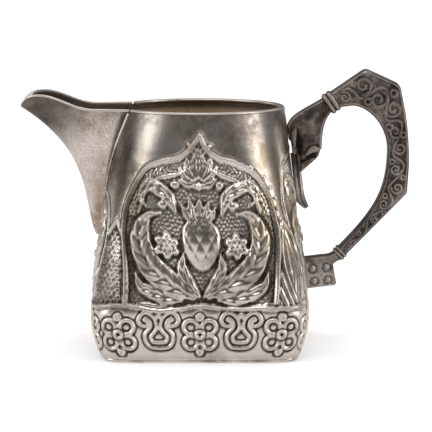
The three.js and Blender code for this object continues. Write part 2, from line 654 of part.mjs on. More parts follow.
// Bracket tongue: a leaf soldered down the wall under the bracket, with its tip bent off the wall.
function tongueOutline() {
  const end = tongueZ - tongueLength;
  const start = wallAt(tongueZ, solderGap);
  const head = wallAt(tongueZ, solderGap + tongueThickness);
  const bend = wallAt(end + tongueBend, solderGap);
  const hollow = wallAt(end + tongueBend / 2, solderGap);
  const shoulder = wallAt(end + 2 * tongueBend, solderGap + tongueThickness);
  const swell = wallAt(end + tongueBend, solderGap + tongueThickness);
  const tipInner = wallAt(end, tongueCurl);
  const tipOuter = wallAt(end + tongueTip / 2, tongueCurl + tongueTip);
  const outline = new THREE.Shape();
  outline.moveTo(start.x, start.y);
  outline.lineTo(bend.x, bend.y);
  outline.quadraticCurveTo(hollow.x, hollow.y, tipInner.x, tipInner.y);
  outline.lineTo(tipOuter.x, tipOuter.y);
  outline.quadraticCurveTo(swell.x, swell.y, shoulder.x, shoulder.y);
  outline.lineTo(head.x, head.y);
  return outline;
}

// The leaf's outline seen from the handle side: full at the top, drawn in to a rounded tip.
function leafPrism() {
  const half = tongueWidth / 2;
  const tip = tongueZ - tongueLength;
  const shoulder = tongueZ - tongueLength / 2;
  const leaf = new THREE.Shape();
  leaf.moveTo(-half, tongueZ + solderGap);
  leaf.lineTo(half, tongueZ + solderGap);
  leaf.bezierCurveTo(half, shoulder, half * 0.9, tip + tongueTip, 0, tip - solderGap);
  leaf.bezierCurveTo(-half * 0.9, tip + tongueTip, -half, shoulder, -half, tongueZ + solderGap);
  const geometry = new THREE.ExtrudeGeometry(leaf, {
    depth: handleReach,
    bevelEnabled: false,
    curveSegments: 8,
  });
  geometry.rotateX(Math.PI / 2);
  geometry.rotateZ(Math.PI / 2);
  return solidOf(geometry);
}
const tongueSolid = plate(tongueOutline(), tongueWidth, 0).intersect(leafPrism());
addPiece("bracket_tongue", tongueSolid, castSilver);

// Lower bracket: a plate that stands square off the wall, with a neck up to the lower collar.
const wallLean = Math.atan2(bellyWidth - mouthDiameter, 2 * (bodyHeight - bellyHeight));
const plateRoot = wallAt(lowerHeight, solderGap);
const platePoint = (out, up) => along(plateRoot, wallLean, out, up);
function lowerBracketOutline() {
  const half = lowerPlateHeight / 2;
  const neckTop = along(lowerCollar, lowerNeckAngle, -lowerHalf, lowerNeckDepth / 2);
  const neckUnder = along(lowerCollar, lowerNeckAngle, -lowerHalf, -lowerNeckDepth / 2);
  const [rootUnder, rootTop] = [platePoint(0, -half), platePoint(0, half)];
  const toe = platePoint(lowerPlateLength, -half);
  const waist = platePoint(lowerPlateLength - lowerPlateWaist, 0);
  const armpit = platePoint(lowerPlateLength - lowerPlateWaist, rivetPitchUp / 2);
  const runStart = platePoint(lowerPlateLength - lowerNeckRun, half);
  const runBend = along(neckTop, lowerNeckAngle, -lowerNeckRun / 2, 0);
  const outline = new THREE.Shape();
  outline.moveTo(rootUnder.x, rootUnder.y);
  roundCorner(outline, toe, waist, bracketRound);
  outline.quadraticCurveTo(waist.x, waist.y, armpit.x, armpit.y);
  outline.lineTo(neckUnder.x, neckUnder.y);
  outline.lineTo(neckTop.x, neckTop.y);
  outline.quadraticCurveTo(runBend.x, runBend.y, runStart.x, runStart.y);
  outline.lineTo(rootTop.x, rootTop.y);
  return outline;
}

// Where the four rivets pass through the lower bracket.
const rivetPlaces = [];
for (const up of [-0.5, 0.5]) {
  for (const out of [-0.5, 0.5]) {
    rivetPlaces.push(platePoint(lowerPlateLength / 2 + out * rivetPitchOut, up * rivetPitchUp - rivetDrop));
  }
}

// A turned solid on an axis along Y through a place in the XZ plane.
function turned(profile, place) {
  const geometry = new THREE.LatheGeometry(profile, 12);
  geometry.translate(place.x, 0, place.y);
  return solidOf(geometry);
}

// A plain hole for a rivet.
function rivetHole(place) {
  const geometry = new THREE.CylinderGeometry(1, 1, 2 * bracketWidth, 16);
  geometry.scale(rivetShank / 2 + rivetClearance, 1, rivetShank / 2 + rivetClearance);
  geometry.translate(place.x, 0, place.y);
  return solidOf(geometry);
}
let lowerBracketSolid = plate(lowerBracketOutline(), bracketWidth, bracketBevel).add(lowerTenon(0));
for (const place of rivetPlaces) lowerBracketSolid = lowerBracketSolid.subtract(rivetHole(place));
addPiece("lower_bracket", lowerBracketSolid, castSilver);

// Rivets: a shank through the bracket with a domed head on each side.
function rivetProfile() {
  const seat = bracketWidth / 2 + solderGap / 3;
  const head = [];
  for (let i = 0; i <= 4; i++) {
    const angle = (i / 4) * (Math.PI / 2);
    head.push(new THREE.Vector2((rivetHead / 2) * Math.cos(angle), seat + rivetDome * Math.sin(angle)));
  }
  head[4].x = 0;
  const upper = [new THREE.Vector2(rivetShank / 2, seat), ...head];
  const lower = upper.map((p) => new THREE.Vector2(p.x, -p.y)).toReversed();
  return [...lower, ...upper];
}
rivetPlaces.forEach((place, i) => {
  addPiece(`rivet_${i + 1}`, turned(rivetProfile(), place), brightSilver);
});

export default jug;
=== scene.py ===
"""Dresses a packed cream jug of chased sheet silver with a dark cast handle.

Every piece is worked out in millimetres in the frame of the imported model, and turned into metres when
its mesh is made. The spout points along -X, the handle along +X, and the front faces -Y. The table is Z = 0.
"""

import json
import logging
import math
from collections.abc import Callable, Sequence
from dataclasses import dataclass, field, replace
from enum import Enum

import bmesh
import bpy
import numpy as np
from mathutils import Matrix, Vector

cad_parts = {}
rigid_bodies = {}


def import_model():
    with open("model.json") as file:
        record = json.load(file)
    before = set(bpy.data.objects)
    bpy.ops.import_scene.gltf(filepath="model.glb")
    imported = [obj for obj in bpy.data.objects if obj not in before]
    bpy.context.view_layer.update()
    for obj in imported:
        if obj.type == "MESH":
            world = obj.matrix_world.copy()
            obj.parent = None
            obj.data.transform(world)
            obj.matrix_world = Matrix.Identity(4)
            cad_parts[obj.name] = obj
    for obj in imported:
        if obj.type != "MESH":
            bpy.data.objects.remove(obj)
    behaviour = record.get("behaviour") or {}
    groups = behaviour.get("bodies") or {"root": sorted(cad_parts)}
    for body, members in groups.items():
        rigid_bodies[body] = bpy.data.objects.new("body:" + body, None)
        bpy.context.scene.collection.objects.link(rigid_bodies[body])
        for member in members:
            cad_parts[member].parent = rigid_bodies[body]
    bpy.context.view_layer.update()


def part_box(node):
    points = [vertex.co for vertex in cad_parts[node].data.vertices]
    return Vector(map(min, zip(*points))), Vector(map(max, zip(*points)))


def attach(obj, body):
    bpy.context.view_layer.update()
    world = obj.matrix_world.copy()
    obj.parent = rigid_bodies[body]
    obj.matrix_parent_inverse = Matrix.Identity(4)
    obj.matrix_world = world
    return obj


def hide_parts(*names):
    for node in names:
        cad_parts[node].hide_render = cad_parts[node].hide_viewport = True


for leftover in list(bpy.data.objects):
    bpy.data.objects.remove(leftover)
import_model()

Array = np.ndarray
Point = tuple[float, float]
Colour = tuple[float, float, float]
Ornament = Callable[[Array, Array], Array]
Faces = list[list[int]]
Socket = bpy.types.NodeSocket
Finish = bpy.types.Material
Piece = bpy.types.Object

LOG = logging.getLogger("cream_jug")
MM = 0.001
FULL_TURN = 2.0 * math.pi
MIRROR = np.array([-1.0, 1.0])


class Side(Enum):
    """The four faces of the body, each with the way that it faces, along X and Y."""

    HANDLE = (1.0, 0.0)
    BACK = (0.0, 1.0)
    SPOUT = (-1.0, 0.0)
    FRONT = (0.0, -1.0)


class Taper(Enum):
    """How a raised line's width runs from its start to its end."""

    EVEN = "even"
    LEAF = "leaf"


class Texture(Enum):
    """What is worked into the top of a raised boss."""

    PLAIN = "plain"
    LATTICE = "lattice"
    PETALS = "petals"


def ramp(low: float, high: float, value: Array) -> Array:
    """Smooth step of numbers, from 0 at low to 1 at high."""
    share = np.clip((value - low) / (high - low), 0.0, 1.0)
    return share * share * (3.0 - 2.0 * share)


def hump(away: Array, width: float) -> Array:
    """Smooth hump that is 1 in its middle and falls off over a width."""
    return np.exp(-((away / width) ** 2))


def unit(vectors: Array) -> Array:
    """Vectors brought to a length of 1."""
    return vectors / np.maximum(np.linalg.norm(vectors, axis=-1, keepdims=True), 1e-12)


def smooth_path(points: Sequence[Point] | Array, steps: int = 8) -> Array:
    """Runs a smooth curve through a few points.

    Args:
        points: The points that the curve passes.
        steps: Short straight steps between two points.

    Returns:
        The curve's points, one a row.
    """
    given = np.array(points, float)
    held = np.vstack([2.0 * given[:1] - given[1:2], given, 2.0 * given[-1:] - given[-2:-1]])
    t = np.linspace(0.0, 1.0, steps, endpoint=False)[:, None]
    runs = []
    for a, b, c, d in zip(held[:-3], held[1:-2], held[2:-1], held[3:]):
        bend = (2.0 * a - 5.0 * b + 4.0 * c - d) * t**2 + (3.0 * b - a - 3.0 * c + d) * t**3
        runs.append(0.5 * (2.0 * b + (c - a) * t + bend))
    return np.vstack([*runs, given[-1:]])


def spiral_path(centre: Point, radii: Point, start: float, turns: float) -> Array:
    """Points on a spiral.

    Args:
        centre: Its middle.
        radii: Its radius at its outer end and at its inner one.
        start: Direction of its outer end from the middle, in radians.
        turns: Turns from the outer end to the inner one, negative for clockwise.

    Returns:
        The points, one a row.
    """
    share = np.linspace(0.0, 1.0, 40)
    turn = start + turns * FULL_TURN * share
    radius = radii[0] + (radii[1] - radii[0]) * share
    return np.column_stack([centre[0] + radius * np.cos(turn), centre[1] + radius * np.sin(turn)])


def offset_path(path: Array, distance: float) -> Array:
    """Moves a path sideways, to its left where the distance is positive."""
    run = unit(np.gradient(path, axis=0))
    return path + distance * np.column_stack([-run[:, 1], run[:, 0]])


def bezier(*held: Point, steps: int = 24) -> Array:
    """Bezier curve of any degree.

    Args:
        *held: Its start, its control points and its end.
        steps: Short straight steps along it.

    Returns:
        The curve's points, one a row.
    """
    t = np.linspace(0.0, 1.0, steps + 1)[:, None]
    degree = len(held) - 1
    weights = (math.comb(degree, k) * t**k * (1.0 - t) ** (degree - k) for k in range(degree + 1))
    return sum(weight * np.array(point) for weight, point in zip(weights, held))


def run_along(path: Array) -> Array:
    """Length of a path from its start to each of its points."""
    return np.concatenate([[0.0], np.cumsum(np.linalg.norm(np.diff(path, axis=0), axis=1))])


def nearest(path: Array, across: Array, up: Array, reach: float) -> tuple[Array, Array]:
    """Finds how far points lie from a path, and where along it.

    Args:
        path: The path's points.
        across: First coordinate of the points.
        up: Second coordinate of the points.
        reach: Points further than this from the path are left out.

    Returns:
        The distances, infinite for points left out, and the share of the path's length at the nearest place.
    """
    low, high = path.min(0) - reach, path.max(0) + reach
    near = (across > low[0]) & (across < high[0]) & (up > low[1]) & (up < high[1])
    x, y = across[near], up[near]
    best, place = np.full(x.shape, np.inf), np.zeros(x.shape)
    steps = np.diff(path, axis=0)
    starts = run_along(path)
    for (px, py), (dx, dy), length, start in zip(path[:-1], steps, np.diff(starts), starts):
        t = np.clip(((x - px) * dx + (y - py) * dy) / max(length * length, 1e-9), 0.0, 1.0)
        away = np.hypot(x - px - t * dx, y - py - t * dy)
        closer = away < best
        best[closer] = away[closer]
        place[closer] = (start + t[closer] * length) / starts[-1]
    distance, share = np.full(across.shape, np.inf), np.zeros(across.shape)
    distance[near], share[near] = best, place
    return distance, share


def inside_of(outline: Array, across: Array, up: Array) -> Array:
    """Tells which points lie inside a closed outline.

    Args:
        outline: The outline's points, closed by a line from the last to the first.
        across: First coordinate of the points.
        up: Second coordinate of the points.

    Returns:
        True for the points inside.
    """
    found = np.zeros(across.shape, bool)
    for (ax, ay), (bx, by) in zip(outline, np.roll(outline, -1, axis=0)):
        if ay == by:
            continue
        crossing = (ay > up) != (by > up)
        found ^= crossing & (across < (bx - ax) * (up - ay) / (by - ay) + ax)
    return found


def soften(grid: Array, cells: int, passes: int = 2) -> Array:
    """Blurs a grid of heights.

    Args:
        grid: The heights, in rows and columns.
        cells: How many cells the blur reaches each way.
        passes: How often it is repeated.

    Returns:
        The blurred heights.
    """
    window = 2 * cells + 1
    for axis in (0, 1) * passes:
        lines = np.pad(np.moveaxis(grid, axis, 0), ((cells + 1, cells), (0, 0)), mode="edge")
        total = np.cumsum(lines, axis=0)
        grid = np.moveaxis((total[window:] - total[:-window]) / window, 0, axis)
    return grid


def grid_normals(points: Array) -> Array:
    """Unit vectors out of a grid of points whose columns run sideways and whose rows run up."""
    return unit(np.cross(np.gradient(points, axis=1), np.gradient(points, axis=0)))


def grid_faces(ids: Array) -> Faces:
    """Four-cornered faces between the rows and columns of a grid of vertex numbers."""
    corners = [ids[:-1, :-1], ids[:-1, 1:], ids[1:, 1:], ids[1:, :-1]]
    return np.stack(corners, axis=-1).reshape(-1, 4).tolist()


def tube_faces(rows: int, columns: int) -> Faces:
    """Faces of a tube whose rings are numbered one after another, with its two ends."""
    ids = np.arange(rows * columns).reshape(rows, columns)
    return grid_faces(np.hstack([ids, ids[:, :1]])) + [ids[0, ::-1].tolist(), ids[-1].tolist()]


def shell_faces(rows: int, columns: int, step: int = 1) -> Faces:
    """Faces of a closed sheet, whose outer points are numbered first and its inner ones after them.

    Args:
        rows: Rows of outer points.
        columns: Columns of outer points.
        step: How many outer cells lie beside one inner cell.

    Returns:
        The vertex numbers of each face.
    """
    outer = np.arange(rows * columns).reshape(rows, columns)
    size = outer[::step, ::step].shape
    inner = outer.size + np.arange(size[0] * size[1]).reshape(size)
    faces = grid_faces(outer) + grid_faces(inner[:, ::-1])
    borders = [(ids[0, ::-1], ids[::-1, -1], ids[-1], ids[:, 0]) for ids in (outer, inner)]
    for fine, coarse in zip(*borders):
        for i, corner in enumerate(coarse[:-1]):
            run = fine[i * step : (i + 1) * step + 1]
            faces.append([*run.tolist(), int(coarse[i + 1]), int(corner)])
    return faces


@dataclass(frozen=True)
class Value:
    """A socket that carries a number, with arithmetic that adds Math nodes."""

    graph: "Graph"
    socket: Socket

    def __add__(self, other: "Number") -> "Value":
        """Sum."""
        return self.graph.maths("ADD", self, other)

    def __sub__(self, other: "Number") -> "Value":
        """Difference."""
        return self.graph.maths("SUBTRACT", self, other)

    def __rsub__(self, other: float) -> "Value":
        """Difference from a number."""
        return self.graph.maths("SUBTRACT", other, self)

    def __mul__(self, other: "Number") -> "Value":
        """Product."""
        return self.graph.maths("MULTIPLY", self, other)

    __radd__ = __add__
    __rmul__ = __mul__

    def clipped(self) -> "Value":
        """The number kept between 0 and 1."""
        return self.graph.maths("ADD", self, 0.0, clamp=True)

    def stepped(self, low: float, high: float) -> "Value":
        """Smooth step from 0 at low to 1 at high."""
        sockets = {"Value": self, "From Min": low, "From Max": high}
        return self.graph.value("ShaderNodeMapRange", {"interpolation_type": "SMOOTHSTEP"}, sockets)


Number = Value | float


class Graph:
    """A node tree whose nodes all come from one method."""

    def __init__(self, tree: bpy.types.NodeTree) -> None:
        """Empties the tree."""
        self.tree = tree
        tree.nodes.clear()

    def node(self, kind: str, settings: dict | None = None, sockets: dict | None = None) -> bpy.types.Node:
        """Adds a node.

        Args:
            kind: The node's type.
            settings: Its own settings, set first.
            sockets: Values or links of its inputs, by name or number.

        Returns:
            The node.
        """
        made = self.tree.nodes.new(kind)
        for name, setting in (settings or {}).items():
            setattr(made, name, setting)
        for key, given in (sockets or {}).items():
            self.feed(made.inputs[key], given)
        return made

    def feed(self, socket: Socket, given: object) -> None:
        """Links a socket, or sets its value.

        Args:
            socket: The input to feed.
            given: A wrapped socket, a plain socket or a value.
        """
        if isinstance(given, Value):
            given = given.socket
        if isinstance(given, Socket):
            self.tree.links.new(given, socket)
        elif socket.type == "RGBA" and len(given) == 3:
            socket.default_value = (*given, 1.0)
        else:
            socket.default_value = given

    def value(
        self, kind: str, settings: dict | None = None, sockets: dict | None = None, out: str | int = 0
    ) -> Value:
        """Adds a node and wraps one of its outputs, by name or number."""
        return Value(self, self.node(kind, settings, sockets).outputs[out])

    def maths(self, operation: str, first: Number, second: Number, clamp: bool = False) -> Value:
        """Adds a Math node, with its result kept between 0 and 1 where clamp is set."""
        settings = {"operation": operation, "use_clamp": clamp}
        return self.value("ShaderNodeMath", settings, {0: first, 1: second})

    def blend(self, share: Value, first: object, second: object) -> Socket:
        """Mixes two colours.

        Args:
            share: How much of the second shows.
            first: A colour or a socket.
            second: A colour or a socket.

        Returns:
            The mixed colour's socket.
        """
        mixed = self.node("ShaderNodeMix", {"data_type": "RGBA"}, {"Factor": share})
        for socket, given in zip([s for s in mixed.inputs if s.type == "RGBA"], (first, second)):
            self.feed(socket, given)
        return next(s for s in mixed.outputs if s.type == "RGBA")

    def noise(self, place: Socket, grain: float, detail: float = 3.0) -> Value:
        """Noise between 0 and 1 on coordinates in metres, with the size of its patches in millimetres."""
        sockets = {"Vector": place, "Scale": 1.0 / (grain * MM), "Detail": detail, "Roughness": 0.6}
        return self.value("ShaderNodeTexNoise", None, sockets)

    def attribute(self, name: str) -> Value:
        """A number that the piece's mesh carries at each vertex."""
        return self.value("ShaderNodeAttribute", {"attribute_name": name}, None, "Fac")


@dataclass(frozen=True)
class SilverFinish:
    """Old silver: polished where it is handled, brown where it is tarnished, black in the hollows. Its black
    and its bright colour also give painted shade and painted light where a piece's marks ask for them.
    """

    name: str
    bright: Colour
    tarnish: Colour
    oxide_and_shade: Colour = (0.05, 0.04, 0.033)
    inside: Colour = (0.56, 0.44, 0.33)
    gilt: Colour = (0.60, 0.47, 0.30)
    verdigris: Colour = (0.20, 0.24, 0.17)
    roughness: float = 0.27
    tarnished: float = 0.5
    greened: float = 0.0
    speckle: Colour = (0.3, 0.25, 0.21)
    speckled: float = 0.0
    mottle: float = 3.2
    blur: float = 0.2
    grain: float = 0.5
    grain_depth: float = 0.012
    dent: float = 9.0
    dent_depth: float = 0.03

    def material(self) -> Finish:
        """Builds the finish as a material.

        Returns:
            The material.
        """
        made = bpy.data.materials.new(self.name)
        made.use_nodes = True
        graph = Graph(made.node_tree)
        place = graph.node("ShaderNodeTexCoord").outputs["Object"]
        cloud = graph.noise(place, 16.0, 5.0)
        mottle = graph.noise(place, self.mottle, 4.0)
        speck = graph.noise(place, self.grain, 2.0)
        oxide_and_shade, polish_and_sheen = graph.attribute("oxide_and_shade"), graph.attribute("polish_and_sheen")
        inner, gilt = graph.attribute("inside"), graph.attribute("gilt")

        even = 0.76 - 0.3 * self.tarnished
        dulled = (cloud * 0.65 + mottle * 0.35).stepped(even - self.blur / 2.0, even + self.blur / 2.0)
        colour = graph.blend(dulled, self.bright, self.tarnish)
        if self.speckled:
            colour = graph.blend(speck.stepped(0.48, 0.66) * self.speckled, colour, self.speckle)
        stained = gilt * (cloud * 0.3 + mottle * 0.4 + speck * 0.3).stepped(0.36, 0.62)
        colour = graph.blend(stained, colour, self.gilt)
        # This brightens the colour: wear on raised parts, and painted light where a piece's marks put it.
        worn = (polish_and_sheen * (0.55 + 0.6 * mottle)).clipped()
        colour = graph.blend(worn, colour, self.bright)
        # This darkens the colour: oxide in the hollows, and painted shade where a piece's marks put it.
        oxide_and_shade_share = (oxide_and_shade * (0.72 + 0.5 * mottle)).clipped()
        colour = graph.blend(oxide_and_shade_share, colour, self.oxide_and_shade)
        if self.greened:
            mould = cloud.stepped(0.56, 0.7) * speck.stepped(0.42, 0.6) * self.greened
            colour = graph.blend((mould * (1.0 - polish_and_sheen)).clipped(), colour, self.verdigris)
        lining = graph.blend((cloud * 0.5 + mottle * 0.5).stepped(0.22, 0.55), self.oxide_and_shade, self.inside)
        colour = graph.blend(inner, colour, lining)

        roughness = self.roughness - 0.04 + 0.09 * dulled + 0.16 * oxide_and_shade_share + 0.1 * (speck - 0.5) + 0.12 * worn
        roughness = roughness + 0.3 * inner
        dented = graph.noise(place, self.dent, 2.0)
        lumps = dented * (self.dent_depth * MM) + speck * (self.grain_depth * MM)
        bump = graph.node("ShaderNodeBump", None, {"Strength": 1.0, "Distance": 1.0, "Height": lumps})
        inputs = {"Base Color": colour, "Roughness": roughness.clipped(), "Metallic": 1.0}
        shader = graph.node("ShaderNodeBsdfPrincipled", None, {**inputs, "Normal": bump.outputs[0]})
        graph.node("ShaderNodeOutputMaterial", None, {"Surface": shader.outputs[0]})
        return made


class Finishes:
    """The jug's finishes, each made once."""

    def __init__(self) -> None:
        """Builds the materials."""
        self.chased = SilverFinish(
            "chased_silver", bright=(0.86, 0.775, 0.7), tarnish=(0.34, 0.28, 0.236),
            inside=(0.92, 0.74, 0.55), gilt=(0.56, 0.44, 0.29), tarnished=0.8, dent=5.0, dent_depth=0.06,
        ).material()
        # The spout's lining colour is near black: painted shade inside its hollow.
        self.spout = SilverFinish(
            "tarnished_sheet_silver", bright=(0.88, 0.775, 0.715), tarnish=(0.45, 0.36, 0.305),
            oxide_and_shade=(0.085, 0.07, 0.062), inside=(0.12, 0.09, 0.07), gilt=(0.36, 0.25, 0.165),
            speckle=(0.38, 0.285, 0.225), speckled=0.5, mottle=6.0, blur=0.4, grain=0.55, roughness=0.4,
            tarnished=0.62, dent=12.0, dent_depth=0.05,
        ).material()
        self.cast = SilverFinish(
            "cast_silver", bright=(0.48, 0.42, 0.38), tarnish=(0.062, 0.048, 0.041),
            oxide_and_shade=(0.018, 0.0135, 0.011), speckle=(0.19, 0.157, 0.137), speckled=0.6, roughness=0.36,
            tarnished=0.95, greened=0.4, grain=0.7, grain_depth=0.09, dent=3.0, dent_depth=0.05,
        ).material()
        self.worn = SilverFinish(
            "worn_cast_silver", bright=(0.56, 0.49, 0.445), tarnish=(0.098, 0.079, 0.068),
            oxide_and_shade=(0.022, 0.0165, 0.013), speckle=(0.29, 0.245, 0.21), speckled=0.65, roughness=0.32,
            tarnished=0.85, greened=0.25, grain=0.7, grain_depth=0.05,
        ).material()
        self.rivet = SilverFinish(
            "rivet_silver", bright=(0.56, 0.49, 0.445), tarnish=(0.3, 0.25, 0.21), roughness=0.36,
            tarnished=0.6, grain_depth=0.05,
        ).material()
        self.wire = SilverFinish(
            "bright_silver", bright=(0.7, 0.63, 0.58), tarnish=(0.36, 0.3, 0.26), roughness=0.36,
            tarnished=0.4,
        ).material()


def added(name: str, data: bpy.types.ID) -> Piece:
    """Makes an object and links it to the scene.

    Args:
        name: The object's name.
        data: Its mesh, lamp or camera.

    Returns:
        The object, at the origin.
    """
    made = bpy.data.objects.new(name, data)
    bpy.context.scene.collection.objects.link(made)
    return made


def make_piece(
    name: str, points: Array, faces: Faces, finish: Finish,
    normals: Array | None = None, marks: dict[str, Array] | None = None,
) -> Piece:
    """Makes an object from points and faces, with its faces turned outwards.

    Args:
        name: The piece's name.
        points: Its vertices in order, in rows or grids, in millimetres.
        faces: The vertex numbers of each face.
        finish: Its material.
        normals: Shading direction at each vertex, where the mesh alone doesn't give it.
        marks: Numbers at each vertex that the finish reads.

    Returns:
        The object, at the origin.
    """
    mesh = bpy.data.meshes.new(name)
    mesh.from_pydata((points.reshape(-1, 3) * MM).tolist(), [], faces)
    mesh.polygons.foreach_set("use_smooth", [True] * len(mesh.polygons))
    probe = bmesh.new()
    probe.from_mesh(mesh)
    turned = probe.calc_volume(signed=True) < 0.0
    probe.free()
    if turned:
        mesh.flip_normals()
    for key, values in (marks or {}).items():
        layer = mesh.attributes.new(key, "FLOAT", "POINT")
        layer.data.foreach_set("value", values.astype(np.float32).ravel())
    if normals is not None:
        mesh.normals_split_custom_set_from_vertices(normals.reshape(-1, 3).tolist())
    mesh.materials.append(finish)
    return added(name, mesh)


def settle(piece: Piece, slot: str, *nodes: str) -> None:
    """Lets a piece stand for CAD nodes, and reports it.

    Args:
        piece: The finished piece.
        slot: The record's material slot that matches its finish; not used.
        *nodes: The CAD nodes that it stands for.
    """
    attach(piece, "root")
    if nodes:
        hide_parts(*nodes)
    triangles = sum(len(p.vertices) - 2 for p in piece.data.polygons)
    LOG.info("%s: %d triangles, for %s", piece.name, triangles, ", ".join(nodes) or "detail")


class GrownTree:
    """A geometry node tree with named inputs, whose result is kept as a plain mesh."""

    def __init__(self, name: str, **inputs: str) -> None:
        """Starts the tree.

        Args:
            name: The tree's name.
            **inputs: The kind of each input's socket, by the input's name.
        """
        self.tree = bpy.data.node_groups.new(name, "GeometryNodeTree")
        self.graph = Graph(self.tree)
        self.sockets = {}
        for label, kind in inputs.items():
            made = self.tree.interface.new_socket(label, in_out="INPUT", socket_type="NodeSocket" + kind)
            self.sockets[label] = made.identifier
        self.tree.interface.new_socket("Mesh", in_out="OUTPUT", socket_type="NodeSocketGeometry")
        self.given = self.graph.node("NodeGroupInput").outputs

    def add(self, kind: str, settings: dict | None = None, **sockets: object) -> Socket:
        """Adds a node with inputs by name, with _ for a space, and gives its first output."""
        named = {label.replace("_", " "): given for label, given in sockets.items()}
        return self.graph.node(kind, settings, named).outputs[0]

    def close(self, shape: Socket) -> None:
        """Smooths what has grown, makes it real and gives it its finish.

        Args:
            shape: The grown geometry.
        """
        smooth = self.add("GeometryNodeSetShadeSmooth", Geometry=shape)
        real = self.add("GeometryNodeRealizeInstances", Geometry=smooth)
        dressed = self.add("GeometryNodeSetMaterial", Geometry=real, Material=self.given["Finish"])
        self.graph.node("NodeGroupOutput", None, {"Mesh": dressed})

    def grow(self, name: str, mesh: bpy.types.Mesh, **inputs: object) -> Piece:
        """Runs the tree on a mesh and keeps the result.

        Args:
            name: The piece's name.
            mesh: What the tree starts from.
            **inputs: The tree's inputs, by name.

        Returns:
            The piece, with no modifier left.
        """
        seed = added(name + "_start", mesh)
        modifier = seed.modifiers.new("grow", "NODES")
        modifier.node_group = self.tree
        for label, given in inputs.items():
            modifier[self.sockets[label]] = given
        graph = bpy.context.evaluated_depsgraph_get()
        made = bpy.data.meshes.new_from_object(seed.evaluated_get(graph), depsgraph=graph)
        made.name = name
        bpy.data.objects.remove(seed)
        return added(name, made)


class PunchTree(GrownTree):
    """Geometry nodes that set domes or rings on points, each facing the way that its point says."""

    unevenness = 0.18

    def __init__(self, ringed: bool) -> None:
        """Builds the tree.

        Args:
            ringed: Sets rings, and domes otherwise.
        """
        sizes = {"Radius": "Float", "Rise": "Float", "Unevenness": "Float"}
        name = "punched_rings" if ringed else "punched_domes"
        super().__init__(name, Points="Geometry", **sizes, Seed="Int", Finish="Material")
        given = self.given
        if ringed:
            wire = self.add("GeometryNodeCurvePrimitiveCircle", Resolution=6, Radius=0.3)
            loop = self.add("GeometryNodeCurvePrimitiveCircle", Resolution=12, Radius=0.7)
            shape = self.add("GeometryNodeCurveToMesh", Curve=loop, Profile_Curve=wire)
        else:
            shape = self.add("GeometryNodeMeshUVSphere", Segments=12, Rings=7, Radius=1.0)
        size = self.add("ShaderNodeCombineXYZ", X=given["Radius"], Y=given["Radius"], Z=given["Rise"])
        stamp = self.add("GeometryNodeTransform", Geometry=shape, Scale=size)
        facing = self.add("GeometryNodeInputNamedAttribute", {"data_type": "FLOAT_VECTOR"}, Name="facing")
        aligned = self.add("FunctionNodeAlignRotationToVector", {"axis": "Z"}, Vector=facing)
        scale = self.graph.node("FunctionNodeRandomValue", {"data_type": "FLOAT"}, {"Seed": given["Seed"]})
        # The node has Min and Max sockets of every kind, and those of the kind in use are enabled.
        limits = {"Min": 1.0 - Value(self.graph, given["Unevenness"]), "Max": 1.0}
        for socket in scale.inputs:
            if socket.enabled and socket.name in limits:
                self.graph.feed(socket, limits[socket.name])
        drawn = next(socket for socket in scale.outputs if socket.enabled)
        placed = {"Points": given["Points"], "Instance": stamp, "Rotation": aligned, "Scale": drawn}
        self.close(self.add("GeometryNodeInstanceOnPoints", **placed))

    def stamp(self, name: str, points: Array, facing: Array, size: Point, finish: Finish, seed: int) -> Piece:
        """Sets the shapes on points.

        Args:
            name: The piece's name.
            points: Where they stand, in millimetres.
            facing: The way that each one faces.
            size: Their radius, and their height over the point, in millimetres.
            finish: Their material.
            seed: Start of the random sizes.

        Returns:
            The piece as a plain mesh.
        """
        mesh = bpy.data.meshes.new(name + "_points")
        mesh.from_pydata((points * MM).tolist(), [], [])
        layer = mesh.attributes.new("facing", "FLOAT_VECTOR", "POINT")
        layer.data.foreach_set("vector", facing.astype(np.float32).ravel())
        sizes = {"Radius": size[0] * MM, "Rise": size[1] * MM, "Unevenness": self.unevenness}
        return self.grow(name, mesh, **sizes, Seed=seed, Finish=finish)


class WireTree(GrownTree):
    """Geometry nodes that sweep a flattened wire along a path."""

    sides = 16

    def __init__(self) -> None:
        """Builds the tree."""
        sizes = {"Width": "Float", "Height": "Float", "Sides": "Int"}
        super().__init__("swept_wire", Path="Geometry", **sizes, Finish="Material")
        given = self.given
        line = self.add("GeometryNodeMeshToCurve", Mesh=given["Path"])
        level = self.add("GeometryNodeSetCurveNormal", {"mode": "Z_UP"}, Curve=line)
        round_wire = self.add("GeometryNodeCurvePrimitiveCircle", Resolution=given["Sides"], Radius=0.5)
        size = self.add("ShaderNodeCombineXYZ", X=given["Width"], Y=given["Height"], Z=1.0)
        flat = self.add("GeometryNodeTransform", Geometry=round_wire, Scale=size)
        self.close(self.add("GeometryNodeCurveToMesh", Curve=level, Profile_Curve=flat, Fill_Caps=True))

    def sweep(self, name: str, path: Array, width: float, height: float, finish: Finish) -> Piece:
        """Sweeps the wire along a path.

        Args:
            name: The piece's name.
            path: The path's points, in millimetres.
            width: The wire's width, level with the table, in millimetres.
            height: The wire's height, in millimetres.
            finish: Its material.

        Returns:
            The piece as a plain mesh.
        """
        mesh = bpy.data.meshes.new(name + "_path")
        mesh.from_pydata((path * MM).tolist(), [(i, i + 1) for i in range(len(path) - 1)], [])
        return self.grow(name, mesh, Width=width * MM, Height=height * MM, Sides=self.sides, Finish=finish)


